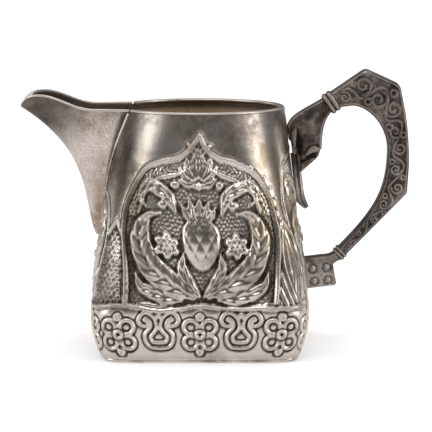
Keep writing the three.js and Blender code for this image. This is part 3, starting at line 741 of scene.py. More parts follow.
@dataclass
class Relief:
    """A height field over points of a surface, in millimetres, that ornament is raised from."""

    across: Array
    up: Array
    chased_depth: float = 0.22
    chased_width: float = 0.42

    def __post_init__(self) -> None:
        """Starts flat."""
        self.height = np.zeros(self.across.shape)
        self.ground = np.zeros(self.across.shape)

    def sink(self, depth: Array) -> None:
        """Lowers the ground and all that stands on it."""
        self.ground = self.ground - depth
        self.height = self.height - depth

    def raise_form(self, form: Array, edge: Array) -> None:
        """Raises a form from the ground, with a thin chased line round it.

        Args:
            form: Height over the ground.
            edge: Distance outside the form's outline, negative inside it.
        """
        line = self.chased_depth * hump(edge, self.chased_width)
        lifted = np.maximum(self.height, self.ground + form)
        self.height = np.where(edge < 0.0, lifted, self.height - line)


@dataclass(frozen=True)
class Stroke:
    """A raised line or leaf along a path."""

    path: Array
    half: float
    height: float
    taper: Taper = Taper.LEAF
    veins: int = 0
    groove: float = 0.0

    def half_width(self, share: Array) -> Array:
        """Half the width at places along the line, from 0 at its start to 1 at its end."""
        leaf = np.sin(math.pi * np.clip(share, 0.03, 0.985) ** 0.75) ** 0.8
        return self.half * (leaf if self.taper is Taper.LEAF else np.ones(share.shape))

    def stamp(self, relief: Relief) -> None:
        """Raises the line.

        Args:
            relief: The height field that it is raised on.
        """
        away, share = nearest(self.path, relief.across, relief.up, 1.4 * self.half + 1.2)
        half = self.half_width(share)
        out = np.minimum(away / half, 4.0)
        form = self.height * np.sqrt(np.clip(1.0 - out**2, 0.0, None)) ** 0.8
        if self.groove:
            form = form * (1.0 - self.groove * hump(out, 0.2))
        if self.veins:
            form = form * (1.0 - 0.26 * (0.5 + 0.5 * np.cos(FULL_TURN * (self.veins * share - 1.1 * out))))
        relief.raise_form(form, away - half)

    def mirrored(self) -> "Stroke":
        """The same line on the other side of the middle."""
        return replace(self, path=self.path * MIRROR)


@dataclass(frozen=True)
class Boss:
    """A raised round form: a fruit, a rosette or a bead."""

    centre: Point
    radii: Point
    height: float
    texture: Texture = Texture.PLAIN

    def stamp(self, relief: Relief) -> None:
        """Raises the form.

        Args:
            relief: The height field that it is raised on.
        """
        x = (relief.across - self.centre[0]) / self.radii[0]
        y = (relief.up - self.centre[1]) / self.radii[1]
        out = np.hypot(x, y)
        if self.texture is Texture.PETALS:
            wave = np.abs(np.cos(3.0 * np.arctan2(y, x)))
            out = out / (1.0 - 0.26 * wave**3)
        form = self.height * np.clip(1.0 - out**2.4, 0.0, None) ** 0.55
        if self.texture is Texture.PETALS:
            form = form * (0.62 + 0.38 * np.clip(1.25 * (1.0 - wave**8), 0.0, 1.0))
            heart = np.clip(1.0 - (out / 0.36) ** 2, 0.0, None) ** 0.5
            dip = hump(out - 0.44, 0.1)
            form = form * (1.0 - 0.4 * dip) + 0.35 * self.height * heart
        if self.texture is Texture.LATTICE:
            bulge = 1.0 / np.sqrt(np.clip(1.15 - 0.45 * out**2, 0.2, None))
            rise, fall = 5.4 * (x + 0.8 * y) * bulge, 5.4 * (x - 0.8 * y) * bulge
            seeds = np.abs(np.sin(rise) * np.sin(fall)) ** 0.5
            form = form - 0.28 * (1.0 - seeds) * np.clip(1.2 - out**4, 0.0, 1.0) * (form > 0.0)
        relief.raise_form(form, (out - 1.0) * min(self.radii))

    def mirrored(self) -> "Boss":
        """The same form on the other side of the middle."""
        return replace(self, centre=(-self.centre[0], self.centre[1]))


Form = Stroke | Boss


def scale_net(across: Array, up: Array, pitch: float) -> Array:
    """The raised edges of overlapping round scales, as a net.

    Args:
        across: First coordinate of the points.
        up: Second coordinate of the points.
        pitch: Width of one scale.

    Returns:
        Heights from 0 inside a scale to 1 on its edge.
    """
    row_step, radius = 0.62 * pitch, 0.6 * pitch
    base = np.floor(up / row_step)
    height = np.ones(across.shape)
    open_still = np.ones(across.shape, bool)
    for ahead in (1, 0, -1):
        row = base + ahead
        middle = np.round(across / pitch - 0.5 * (row % 2)) + 0.5 * (row % 2)
        out = np.hypot(across - middle * pitch, row * row_step + 0.55 * radius - up) / radius
        here = open_still & (out < 1.0)
        height[here] = np.clip(1.0 - (1.0 - out) / 0.34, 0.0, 1.0)[here]
        open_still &= ~here
    return height


def stipple(across: Array, up: Array, pitch: float) -> Array:
    """Punched ground: round pits in uneven rows.

    Args:
        across: First coordinate of the points.
        up: Second coordinate of the points.
        pitch: Distance between pits.

    Returns:
        Depths from 0 to 1.
    """
    row = np.round(up / pitch)
    shift = 0.5 * (row % 2)
    column = np.round(across / pitch - shift)
    wander = 0.16 * pitch
    x = across - (column + shift) * pitch - wander * np.sin(12.9 * row + 7.3 * column)
    y = up - row * pitch - wander * np.cos(5.1 * row + 9.7 * column)
    return hump(np.hypot(x, y), 0.32 * pitch)


@dataclass(frozen=True)
class Wall:
    """The body's outer wall: a rounded square at the foot that turns round at the mouth."""

    height: float
    mouth: float
    belly: float = 72.3
    belly_height: float = 16.5
    foot: float = 64.8
    foot_squareness: float = 9.0

    @property
    def lean(self) -> float:
        """How far the wall over the belly leans inwards, in radians."""
        return math.atan2(self.belly - self.mouth, 2.0 * (self.height - self.belly_height))

    def half_width(self, z: Array) -> Array:
        """Half the width across the flats.

        Args:
            z: Heights over the table.

        Returns:
            The half widths.
        """
        low = np.clip((self.belly_height - z) / self.belly_height, 0.0, None)
        high = np.clip((z - self.belly_height) / (self.height - self.belly_height), 0.0, None)
        return 0.5 * (self.belly - (self.belly - self.foot) * low**2 + (self.mouth - self.belly) * high)

    def squareness(self, z: Array) -> Array:
        """Superellipse exponent of the section at heights over the table."""
        return 2.0 + (self.foot_squareness - 2.0) * (1.0 - np.clip(z / self.height, 0.0, 1.0)) ** 1.6

    def at(self, z: Array, turn: Array, offset: Array | float = 0.0) -> Array:
        """Points of the wall.

        Args:
            z: Heights over the table.
            turn: Angles from the middle of a face.
            offset: How far the wall is grown.

        Returns:
            The points, with the face towards +X.
        """
        n = self.squareness(z)
        c, s = np.cos(turn), np.sin(turn)
        radius = (self.half_width(z) + offset) / (np.abs(c) ** n + np.abs(s) ** n) ** (1.0 / n)
        return np.stack(np.broadcast_arrays(radius * c, radius * s, z), axis=-1)


@dataclass
class FaceMap:
    """Maps one face of the wall by height and by the share of the way from its middle to its edge."""

    wall: Wall
    levels: int = 161
    places: int = 201

    def __post_init__(self) -> None:
        """Measures the wall."""
        self.heights = np.linspace(0.0, self.wall.height, self.levels)
        turn = np.linspace(-math.pi / 4.0, math.pi / 4.0, 721)
        shares = np.linspace(-1.0, 1.0, self.places)
        self.turns, self.spans = np.zeros((self.levels, self.places)), np.zeros(self.levels)
        for i, z in enumerate(self.heights):
            run = run_along(self.wall.at(np.full(turn.shape, z), turn))
            run -= run[len(run) // 2]
            self.spans[i] = run[-1]
            self.turns[i] = np.interp(shares * run[-1], run, turn)

    def span(self, z: Array) -> Array:
        """Length along the wall from the middle of a face to its edge, at heights over the table."""
        return np.interp(z, self.heights, self.spans)

    def turn(self, z: Array, share: Array) -> Array:
        """Angles of places on the face.

        Args:
            z: Heights over the table.
            share: Places from -1 at one edge to 1 at the other.

        Returns:
            The angles.
        """
        row = np.clip(z / self.wall.height, 0.0, 1.0) * (self.levels - 1)
        column = np.clip((share + 1.0) / 2.0, 0.0, 1.0) * (self.places - 1)
        i = np.minimum(row.astype(int), self.levels - 2)
        j = np.minimum(column.astype(int), self.places - 2)
        u, v = row - i, column - j
        low = self.turns[i, j] * (1.0 - v) + self.turns[i, j + 1] * v
        high = self.turns[i + 1, j] * (1.0 - v) + self.turns[i + 1, j + 1] * v
        return low * (1.0 - u) + high * u

    def share_at(self, z: float, sideways: float) -> float:
        """Place on the face, from -1 to 1, at a height and at a distance from its middle plane."""
        level, shares = np.full(self.places, z), np.linspace(-1.0, 1.0, self.places)
        return float(np.interp(sideways, self.points(level, shares)[:, 1], shares))

    def points(self, z: Array, share: Array, offset: float = 0.0) -> Array:
        """Points of the face, with the face towards +X."""
        return self.wall.at(z, self.turn(z, share), offset)

    def normals(self, z: Array, share: Array) -> Array:
        """Directions out of the face.

        Args:
            z: Heights over the table.
            share: Places from -1 to 1.

        Returns:
            Unit vectors.
        """
        side_step, up_step = 4e-3, 0.1
        sideways = self.points(z, share + side_step) - self.points(z, share - side_step)
        upward = self.points(z + up_step, share) - self.points(z - up_step, share)
        return unit(np.cross(sideways, upward))


def turned_to(side: Side, points: Array) -> Array:
    """Turns points of a face that looks along +X to the side where it belongs.

    Args:
        side: The face.
        points: Points or directions.

    Returns:
        The turned ones.
    """
    c, s = side.value
    x, y, z = np.moveaxis(points, -1, 0)
    return np.stack([c * x - s * y, s * x + c * y, z], axis=-1)


@dataclass
class SpoutShape:
    """The beak-shaped spout's sheet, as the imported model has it."""

    wall: Wall
    reach: float = 61.0
    height: float = 44.2
    mouth_width: float = 32.0
    lip_width: float = 26.6
    belly: float = 10.4
    sheet: float = 0.9
    crest: float = 4.7
    tip_drop: float = 1.1
    rise_at: float = 0.22
    crest_at: float = 0.76
    wire: float = 1.2
    flare_curve: float = 3.2
    bluntness: float = 2.2
    lip_bluntness: float = 4.3
    root_depth: float = 3.6

    @property
    def foot(self) -> float:
        """Height of the spout's foot over the table."""
        return self.wall.height - self.height

    def seam(self, z: Array) -> Array:
        """Half the width between the seams at heights over the table."""
        up = np.clip((z - self.foot) / self.height, 0.0, 1.0)
        return self.mouth_width / 4.0 * (np.sqrt(up) + up)

    def at(self, side: Array, z: Array) -> Array:
        """Points on the outside of the spout.

        Args:
            side: Places from 0 at one seam, over the keel at 0.5, to 1 at the other seam.
            z: Heights over the table.

        Returns:
            The points.
        """
        up = np.clip((z - self.foot) / self.height, 0.0, 1.0)
        seam, n = self.seam(z), self.wall.squareness(z)
        half = self.wall.half_width(np.minimum(z, self.wall.height))
        seam_x = half * (1.0 - (seam / half) ** n) ** (1.0 / n)
        flare = self.reach - self.wire - self.wall.mouth / 2.0 - self.belly
        keel = half + self.belly * np.sqrt(up) + flare * up**self.flare_curve
        root = seam_x - self.root_depth
        blunt = self.bluntness + (self.lip_bluntness - self.bluntness) * up * up
        start = np.clip((seam_x - 0.35 - root) / (keel - root), 0.0, 0.98)
        first = np.arctan2(start, (1.0 - start**blunt) ** (1.0 / blunt))
        angle = first + (math.pi - 2.0 * first) * side
        c, s = np.clip(np.sin(angle), 0.0, None), -np.cos(angle)
        out = 1.0 / (c**blunt + np.abs(s) ** blunt) ** (1.0 / blunt)
        x = root + (keel - root) * out * c
        past = np.clip((x - seam_x) / np.maximum(keel - seam_x, 1e-6), 0.0, 1.0)
        narrow = self.lip_width / self.mouth_width
        across = seam * (narrow + (1.0 - narrow) * (1.0 - past) ** 3)
        return np.stack([-x, across * out * s, z], axis=-1)

    def lip_height(self, x: Array) -> Array:
        """Height of the lip's top over the table.

        Args:
            x: Places along X.

        Returns:
            The heights.
        """
        out = np.clip((-x - self.wall.mouth / 2.0) / (self.reach - self.wall.mouth / 2.0), 0.0, 1.0)
        rise = self.crest * ramp(self.rise_at, self.crest_at, out)
        dip = np.clip((out - self.crest_at) / (1.0 - self.crest_at), 0.0, None) ** 3
        return self.wall.height + rise - (self.crest + self.tip_drop) * dip

    def top(self, side: Array, below: float) -> Array:
        """Heights of the sheet's top edge, a distance below the lip's top.

        Args:
            side: Places from seam to seam.
            below: The distance below the lip's top.

        Returns:
            The heights.
        """
        # The lip's height changes with its reach, and its reach with its height.
        z = np.full(side.shape, self.wall.height)
        for _ in range(12):
            z = self.lip_height(self.at(side, z)[..., 0]) - below
        return z


@dataclass
class ChasedBody:
    """The jug's body: four chased faces, the base plate and the wire round the mouth."""

    wall: Wall
    spout: SpoutShape
    finishes: Finishes
    punches: PunchTree
    rings: PunchTree
    wires: WireTree
    thickness: float = 0.9
    base: float = 1.1
    base_round: float = 0.5
    rim_width: float = 1.9
    rim_height: float = 1.2
    notch_inset: float = 1.2
    cell: float = 0.28
    inner_step: int = 6
    wall_inset: float = 0.18
    foot_line: float = 18.6
    arch: Sequence[Point] = (
        (24.4, 19.4), (25.4, 31.0), (25.4, 43.0), (23.0, 54.0), (18.2, 61.4),
        (12.2, 64.8), (6.8, 67.0), (2.6, 70.6), (0.0, 74.4),
    )
    arch_line_size: Point = (0.85, 0.6)
    border: float = 4.4
    border_foot: float = 48.0
    border_line_size: Point = (0.5, 0.45)
    ground: float = 0.42
    pit_pitch: float = 1.25
    pit_depth: float = 0.3
    scale_pitch: float = 2.3
    moulding: float = 0.7
    corner_top: float = 46.0
    corner_reach: float = 14.0
    handle_side: float = 0.65
    soldered: Sequence[tuple[float, float, float]] = ((4.2, 25.2, 6.0), (4.0, 61.0, 15.0))
    foot_pitch: float = 13.4
    foot_middle: float = 10.4
    face_map: FaceMap = field(init=False)

    def __post_init__(self) -> None:
        """Measures the wall once."""
        self.face_map = FaceMap(self.wall)

    def arch_line(self, side: Side) -> Array:
        """The moulded arch that frames a face, from corner to corner, lower under the spout.

        Args:
            side: The face.

        Returns:
            The points, one a row.
        """
        right = smooth_path(self.arch, 10)
        if side is Side.SPOUT:
            right[:, 1] = right[0, 1] + (right[:, 1] - right[0, 1]) / 1.3
        return np.vstack([right, right[-2::-1] * MIRROR])

    def foot_outline(self, across: Array, up: Array) -> Array:
        """Distance from the outline of the palmettes and knots along the foot, negative inside them.

        Args:
            across: Distance along the wall from the middle of the face, as it is at the band's middle.
            up: Heights over the table.

        Returns:
            The distances.
        """
        away = np.full(across.shape, 9.0)
        stem = ((0.0, -5.4), (2.9, -4.8), (3.6, -2.0), (1.7, 0.6))
        lyre = smooth_path((*stem, (2.1, 3.4), (4.3, 4.9), (5.5, 3.0), (4.3, 2.2)), 6)
        for k in range(-2, 3):
            x = across - k * self.foot_pitch
            y = up - self.foot_middle - (0.9 if k % 2 else -0.8)
            if k % 2:
                to_lyre, _ = nearest(lyre, np.abs(x), y, 6.0)
                drop = np.hypot(x, (y - 3.0) / 1.9) - 1.0
                away = np.minimum.reduce([away, to_lyre - 0.95, drop])
            else:
                for dx, dy in ((3.0, 2.6), (-3.0, 2.6), (3.0, -2.6), (-3.0, -2.6)):
                    away = np.minimum(away, np.hypot(x - dx, y - dy) - 2.3)
                away = np.maximum(np.minimum(away, np.hypot(x, y) - 2.9), 1.2 - np.hypot(x, y))
                away = np.minimum(away, np.hypot(x, np.abs(y) - 5.9) - 0.8)
        return away

    def field_forms(self, side: Side) -> list[Form]:
        """Leaves, scrolls and fruit inside the arch of one face.

        Args:
            side: The face.

        Returns:
            The forms, in the order that they are raised.
        """
        low = ((6.0, 21.6), (13.0, 22.2), (19.6, 24.8), (22.0, 29.6))
        half: list[Form] = [Stroke(smooth_path(low), 2.7, 1.2, veins=5, groove=0.35)]
        middle: list[Form] = []
        if side is Side.SPOUT:
            plume = ((2.0, 22.4), (8.0, 24.4), (15.0, 29.6), (19.4, 38.4), (19.0, 47.4), (15.2, 51.6))
            half.append(Stroke(smooth_path(plume), 4.4, 1.6, veins=8, groove=0.3))
            half.append(Boss((10.4, 33.6), (4.0, 4.0), 1.5, Texture.PETALS))
            half += self.palmette((0.0, 22.4), 12.8)
        else:
            root = (6.4, 23.4) if side is Side.HANDLE else (2.6, 22.8)
            plume = (root, (10.0, 26.2), (16.4, 31.6), (19.8, 39.4), (17.8, 47.2), (12.8, 48.8))
            half.append(Stroke(smooth_path(plume), 4.3, 1.6, veins=8, groove=0.3))
            half.append(Boss((11.4, 38.6), (4.5, 4.5), 1.6, Texture.PETALS))
            curl = ((7.2, 49.6), (10.6, 55.6), (16.2, 57.6), (19.4, 53.8), (17.4, 50.8))
            half.append(Stroke(smooth_path(curl), 2.5, 1.3, veins=6, groove=0.3))
            half.append(Boss((11.6, 51.6), (1.7, 1.7), 1.0))
        if side in (Side.FRONT, Side.BACK):
            calyx = ((0.8, 23.0), (4.6, 27.0), (6.8, 32.0), (6.0, 37.0))
            half.append(Stroke(smooth_path(calyx), 2.2, 1.2, veins=4, groove=0.35))
            middle.append(Boss((0.0, 40.0), (6.2, 8.8), 1.8, Texture.LATTICE))
            for lean in (0.95, 0.48, 0.0):
                tip = (6.6 * math.sin(lean), 47.6 + 7.0 * math.cos(lean))
                half.append(Stroke(np.array([[1.4 * lean, 46.8], tip]), 1.7, 1.2, groove=0.4))
            half += self.palmette((0.0, 58.4), 12.4)
            half.append(Boss((7.4, 58.6), (1.5, 1.5), 0.9))
        return [form.mirrored() for form in half] + half + middle

    def palmette(self, root: Point, length: float) -> list[Form]:
        """Half a fan of leaves, with its middle leaf.

        Args:
            root: Where the leaves spread from.
            length: Length of the middle leaf.

        Returns:
            The leaves.
        """
        made: list[Form] = []
        for lean, share in ((1.25, 0.56), (0.84, 0.7), (0.42, 0.84), (0.0, 1.0)):
            reach, angle = length * share, math.pi / 2.0 - lean
            bow = along(root, angle - 0.16, 0.55 * reach, 0.0)
            path = smooth_path([root, bow, along(root, angle, reach, 0.0)], 5)
            made.append(Stroke(path, 0.15 * reach + 0.5, 1.1, groove=0.45))
        made.append(Boss(root, (2.4, 2.0), 1.2, Texture.PETALS))
        return made

    def wobble(self, across: Array, up: Array) -> tuple[Array, Array]:
        """Shifts places on a face a little, as a pattern laid out by hand would."""
        moved = across + 0.7 * np.sin(0.12 * up + 0.9) + 0.4 * np.sin(0.31 * across + 0.2 * up)
        return moved, up + 0.7 * np.sin(0.14 * across + 1.2) + 0.3 * np.sin(0.3 * up - 0.27 * across)

    def heights(self, side: Side, across: Array, up: Array) -> Array:
        """Heights of the chased work over the plain wall.

        Args:
            side: The face.
            across: Distances along the wall from the face's middle.
            up: Heights over the table.

        Returns:
            The heights.
        """
        relief = Relief(*self.wobble(across, up))
        arch = self.arch_line(side)
        span = self.face_map.span(up)
        turned = math.pi * across / span
        wavy = 0.6 * np.sin(2.0 * turned + 0.8) + 0.45 * np.sin(3.0 * turned + 2.1)
        over_foot = up - self.foot_line - wavy
        within = inside_of(arch, relief.across, relief.up) & (over_foot > 0.0)
        to_arch, _ = nearest(arch, relief.across, relief.up, 8.0)
        corner = span - np.abs(across)
        corner_line = self.corner_top - 1.1 * corner - 0.06 * corner**2
        outside = ~within & (over_foot > 0.0)
        scaled = outside & (up < corner_line) & (corner < self.corner_reach)

        relief.sink(self.ground * within)
        pits = stipple(relief.across, relief.up, self.pit_pitch)
        pits = pits * (ramp(41.0, 37.0, up) if side is Side.SPOUT else 1.0)
        relief.height = relief.height - self.pit_depth * within * pits
        for form in self.field_forms(side):
            form.stamp(relief)
        band = within & (to_arch < self.border) & (relief.up > self.border_foot) & (side is not Side.SPOUT)
        relief.height = np.where(band, np.maximum(relief.height, -0.12) - 0.34 * pits, relief.height)
        relief.height = np.where(outside, 0.0, relief.height)
        relief.ground = np.where(outside, 0.0, relief.ground)

        scales = scale_net(corner, up, self.scale_pitch)
        waves = np.abs(np.cos(math.pi * (0.42 * corner + 1.1 * np.sin(0.13 * up + 0.4)))) ** 0.7
        towards_handle = {Side.FRONT: across > 0.0, Side.BACK: across < 0.0}
        cells = np.where(towards_handle.get(side, side is Side.HANDLE), waves, scales)
        relief.height = np.where(scaled, self.ground * cells - self.ground, relief.height)
        from_top = np.where(outside & (corner < 12.0), np.abs(up - corner_line) / 1.5, 9.0)
        self.raise_moulding(relief, from_top, 0.5)
        Stroke(arch, *self.arch_line_size, Taper.EVEN).stamp(relief)
        if side is not Side.SPOUT:
            Stroke(offset_path(arch, self.border)[26:-26], *self.border_line_size, Taper.EVEN).stamp(relief)

        foot = ramp(0.4, -0.4, over_foot)
        outline = self.foot_outline(across / span * self.face_map.span(np.array(self.foot_middle)), up)
        groove = hump(np.abs(outline) - 1.0, 0.42)
        raised = 0.62 * hump(outline, 0.42) - 0.36 * groove - 0.1
        relief.height = relief.height * (1.0 - foot) + raised * foot
        relief.ground = relief.ground * (1.0 - foot)
        self.raise_moulding(relief, np.abs(over_foot), 0.34)
        share = self.handle_side if side is Side.HANDLE else 1.0
        return share * relief.height * self.bare_places(side, across, up)

    def raise_moulding(self, relief: Relief, away: Array, height: float) -> None:
        """Raises a half-round line, given each point's distance from its middle."""
        form = height * np.sqrt(np.clip(1.0 - (away / self.moulding) ** 2, 0.0, None))
        relief.raise_form(form, away - self.moulding)

    def bare_places(self, side: Side, across: Array, up: Array) -> Array:
        """Shares of the chased work that stay, which are 0 where another piece is soldered on.

        Args:
            side: The face.
            across: Distances along the wall from the face's middle.
            up: Heights over the table.

        Returns:
            Shares from 0 to 1.
        """
        bare = ramp(1.4, 2.4, up) * ramp(self.wall.height - 3.0, self.wall.height - 6.0, up)
        for half, middle, reach in self.soldered if side is Side.HANDLE else ():
            bare = bare * ramp(0.0, 1.2, np.maximum(np.abs(across) - half, np.abs(up - middle) - reach))
        if side is Side.SPOUT:
            past = np.abs(across) - self.spout.seam(up)
            above = ramp(self.spout.foot - 1.6, self.spout.foot + 0.4, up)
            bare = bare * (1.0 - above * (1.0 - ramp(0.9, 2.2, past)))
        return bare

    def face_grid(self, side: Side, shares: Array, z: Array) -> dict[str, Array]:
        """Works out one stretch of chased wall.

        Args:
            side: The face.
            shares: Places across the face, one row for each height.
            z: Heights over the table, in the same rows.

        Returns:
            Grids of points, shading directions and marks.
        """
        across = shares * self.face_map.span(z)
        heights = soften(self.heights(side, across, z), 1, 1)
        room = self.wall.belly / 2.0 - 0.06 - self.wall.half_width(z)
        lifted = np.minimum(heights - self.wall_inset * ramp(2.0, 4.0, z) * ramp(74.0, 68.0, z), room)
        base, out = self.face_map.points(z, shares), self.face_map.normals(z, shares)
        points = base + out * lifted[..., None]
        normals = grid_normals(points)
        # Where two stretches meet, the shading of both lies in the plane between them and no line shows.
        for column in (0, -1):
            for fixed in (-1.0, 0.0, 1.0):
                plane = np.array([-fixed, 1.0, 0.0]) / math.hypot(fixed, 1.0)
                tied = np.isclose(shares[:, column], fixed, atol=1e-6)[:, None]
                normals[:, column] -= tied * (normals[:, column] @ plane)[:, None] * plane
        outward = turned_to(side, base)[..., 0]
        marks = self.face_marks(outward, self.face_map.span(z) - np.abs(across), z, heights)
        return {"points": turned_to(side, points), "normals": turned_to(side, unit(normals)), **marks}

    def face_marks(self, outward: Array, corner: Array, z: Array, heights: Array) -> dict[str, Array]:
        """Tells where a stretch of chased wall is black, worn bright or yellow, and where painted shade and
        painted light lie on it.

        Args:
            outward: Distances from the jug's middle towards the handle.
            corner: Distances along the wall from the nearest edge of its face.
            z: Heights over the table.
            heights: Heights of the chased work.

        Returns:
            Grids of marks from 0 to 1, by name.
        """
        hollow, wide_hollow = (soften(heights, cells) - heights for cells in (3, 10))
        cells = ramp(-0.12, -0.4, heights) * ramp(11.0, 9.5, corner)
        neck = soften((np.abs(heights) < 1e-3) * ramp(44.0, 62.0, z), 2)
        foot = ramp(self.foot_line, self.foot_line - 3.0, z)
        polish_and_sheen = ramp(0.05, 0.3, -hollow) * 0.48 + ramp(0.15, 0.8, -wide_hollow) * 0.3
        # Painted light: the foot band is painted brighter, most towards its sides, and brighter still on its
        # raised lines.
        polish_and_sheen += foot * (0.55 + 0.9 * ramp(8.0, 24.0, np.abs(outward)) + 0.6 * ramp(0.015, 0.1, -hollow))
        oxide_and_shade = ramp(0.04, 0.24, hollow) * 0.8 + ramp(0.15, 0.8, wide_hollow) * 0.35 + 0.5 * cells
        oxide_and_shade += 0.38 * neck + 0.24 * foot * ramp(0.03, 0.12, hollow) + 0.2 * ramp(3.4, 1.6, z)
        # Painted shade: the wall is painted darker towards the spout's side, and more so over the spout's
        # face from about 45 mm up. It is also darker near the handle-side edge of the upper wall.
        edge = 0.14 * ramp(-6.0, -22.0, outward) + 0.3 * ramp(24.0, 31.0, outward) * ramp(72.0, 60.0, z)
        oxide_and_shade += (1.0 - foot) * edge + 0.35 * ramp(-17.0, -24.0, outward) * ramp(42.0, 50.0, z)
        gilt = ramp(12.0, 21.0, outward) * ramp(30.0, 44.0, z) * ramp(78.0, 66.0, z)
        gilt = np.maximum(gilt, 0.7 * ramp(-16.0, -22.0, outward) * ramp(42.0, 50.0, z))
        return {"oxide_and_shade": np.clip(oxide_and_shade, 0.0, 1.0), "polish_and_sheen": np.clip(polish_and_sheen, 0.0, 1.0), "gilt": gilt}

    def face_piece(self, name: str, side: Side, first: float | None = -1.0, last: float | None = 1.0) -> None:
        """Makes one closed stretch of wall, chased outside and plain inside.

        Args:
            name: The piece's name.
            side: The face.
            first: Place of its first edge, or None for the edge of the pour opening.
            last: Place of its last edge, or None for the edge of the pour opening.
        """
        top = self.wall.height - self.rim_height + 0.2
        widest = float(self.face_map.span(np.array(self.wall.belly_height)))
        width = widest * ((last or 0.0) - (first or 0.0))
        step = self.inner_step
        rows = step * round((top - self.base) / self.cell / step) + 1
        columns = step * round(width / self.cell / step) + 1
        heights = np.linspace(self.base, top, rows)
        spread = np.linspace(0.0, 1.0, columns)
        opening = np.array([self.notch(z) for z in heights])[:, None]
        starts = opening if first is None else np.full(opening.shape, first)
        ends = -opening if last is None else np.full(opening.shape, last)
        shares = starts + (ends - starts) * spread
        z = np.repeat(heights[:, None], columns, axis=1)
        outer = self.face_grid(side, shares, z)
        inner = turned_to(side, self.face_map.points(z, shares, -self.thickness)[::step, ::step])
        # Painted shade: the inside wall is painted dark just under the rim, and lined below it.
        shade = 0.85 * ramp(top - 3.3, top - 1.5, inner[..., 2])
        marks = {key: np.append(outer[key], np.zeros(shade.shape)) for key in ("polish_and_sheen", "gilt")}
        marks["oxide_and_shade"] = np.append(outer["oxide_and_shade"], shade)
        marks["inside"] = np.append(np.zeros(rows * columns), 1.0 - shade)
        points = np.vstack([*outer["points"], *inner])
        normals = np.vstack([*outer["normals"], *-grid_normals(inner)])
        faces = shell_faces(rows, columns, step)
        piece = make_piece(name, points, faces, self.finishes.chased, normals, marks)
        settle(piece, "chased_silver", "body_shell")

    def notch(self, z: float) -> float:
        """Edge of the pour opening on the spout's face, as a place from the middle."""
        wide = float(self.spout.seam(np.array(z))) - self.notch_inset
        return self.face_map.share_at(z, wide) if wide > 0.0 else 0.0

    def base_piece(self) -> None:
        """Makes the base plate, with its rounded edge."""
        turn = np.linspace(0.0, FULL_TURN, 288, endpoint=False)
        folded = (turn + math.pi / 4.0) % (math.pi / 2.0) - math.pi / 4.0
        bend = np.linspace(0.0, math.pi / 2.0, 6)
        levels = np.append(self.base_round * (1.0 - np.cos(bend)), self.base + 0.02)
        offsets = np.append(self.base_round * (np.sin(bend) - 1.0), 0.0)
        rings = self.wall.at(levels[:, None], folded, offsets[:, None])
        radius = np.linalg.norm(rings[..., :2], axis=-1)
        points = np.stack([radius * np.cos(turn), radius * np.sin(turn), rings[..., 2]], axis=-1)
        faces = tube_faces(*radius.shape)
        piece = make_piece("base_plate_sheet", points, faces, self.finishes.chased)
        settle(piece, "chased_silver", "base_plate")

    def rim_piece(self) -> None:
        """Makes the flattened wire round the mouth, from seam to seam."""
        radius = (self.wall.mouth - self.rim_width) / 2.0
        opening = math.asin((self.spout.mouth_width / 2.0 - 0.2) / radius)
        turn = np.linspace(-math.pi + opening, math.pi - opening, 181)
        level = np.full(turn.shape, self.wall.height - self.rim_height / 2.0)
        path = np.column_stack([radius * np.cos(turn), radius * np.sin(turn), level])
        piece = self.wires.sweep("mouth_wire", path, self.rim_width, self.rim_height, self.finishes.wire)
        settle(piece, "bright_silver", "mouth_rim")

    def on_wall(self, side: Side, across: Array, up: Array) -> tuple[Array, Array]:
        """Places on the chased wall for beads and rings.

        Args:
            side: The face.
            across: Distances along the wall from the face's middle.
            up: Heights over the table.

        Returns:
            The points, and the directions out of the wall.
        """
        share = across / self.face_map.span(up)
        out = self.face_map.normals(up, share)
        room = self.wall.belly / 2.0 - 0.5 - self.wall.half_width(up)
        lift = np.minimum(self.heights(side, across, up) - self.wall_inset, room)
        return turned_to(side, self.face_map.points(up, share) + out * lift[:, None]), turned_to(side, out)

    def bead_pieces(self) -> None:
        """Sets rows of rings beside the scaled corners and studs on the two corners towards the handle."""
        edges, levels = zip(*self.arch)
        scaled = ((Side.FRONT, -1.0), (Side.SPOUT, 1.0), (Side.SPOUT, -1.0), (Side.BACK, 1.0))
        waved = ((Side.FRONT, 1.0), (Side.BACK, -1.0))
        low = np.arange(self.foot_line + 3.4, self.corner_top - 8.0, 2.15)
        high = np.arange(self.corner_top + 1.0, self.corner_top + 20.0, 3.3)
        for name, tree, corners, up, gap, rise, seed in (
            ("corner_rings", self.rings, scaled, low, 2.15, 0.9, 3),
            ("corner_studs", self.punches, waved, high, 2.6, 0.7, 5),
        ):
            beside = np.interp(up, levels, edges) + gap
            spots = [self.on_wall(side, hand * beside, up) for side, hand in corners]
            points, facing = (np.vstack(given) for given in zip(*spots))
            piece = tree.stamp(name, points, facing, (1.05, rise), self.finishes.chased, seed)
            settle(piece, "chased_silver")

    def build(self) -> None:
        """Makes the body's pieces."""
        self.base_piece()
        self.face_piece("body_front", Side.FRONT)
        self.face_piece("body_back", Side.BACK)
        self.face_piece("body_handle_side", Side.HANDLE)
        self.face_piece("body_spout_side_back", Side.SPOUT, last=None)
        self.face_piece("body_spout_side_front", Side.SPOUT, first=None)
        self.rim_piece()
        self.bead_pieces()


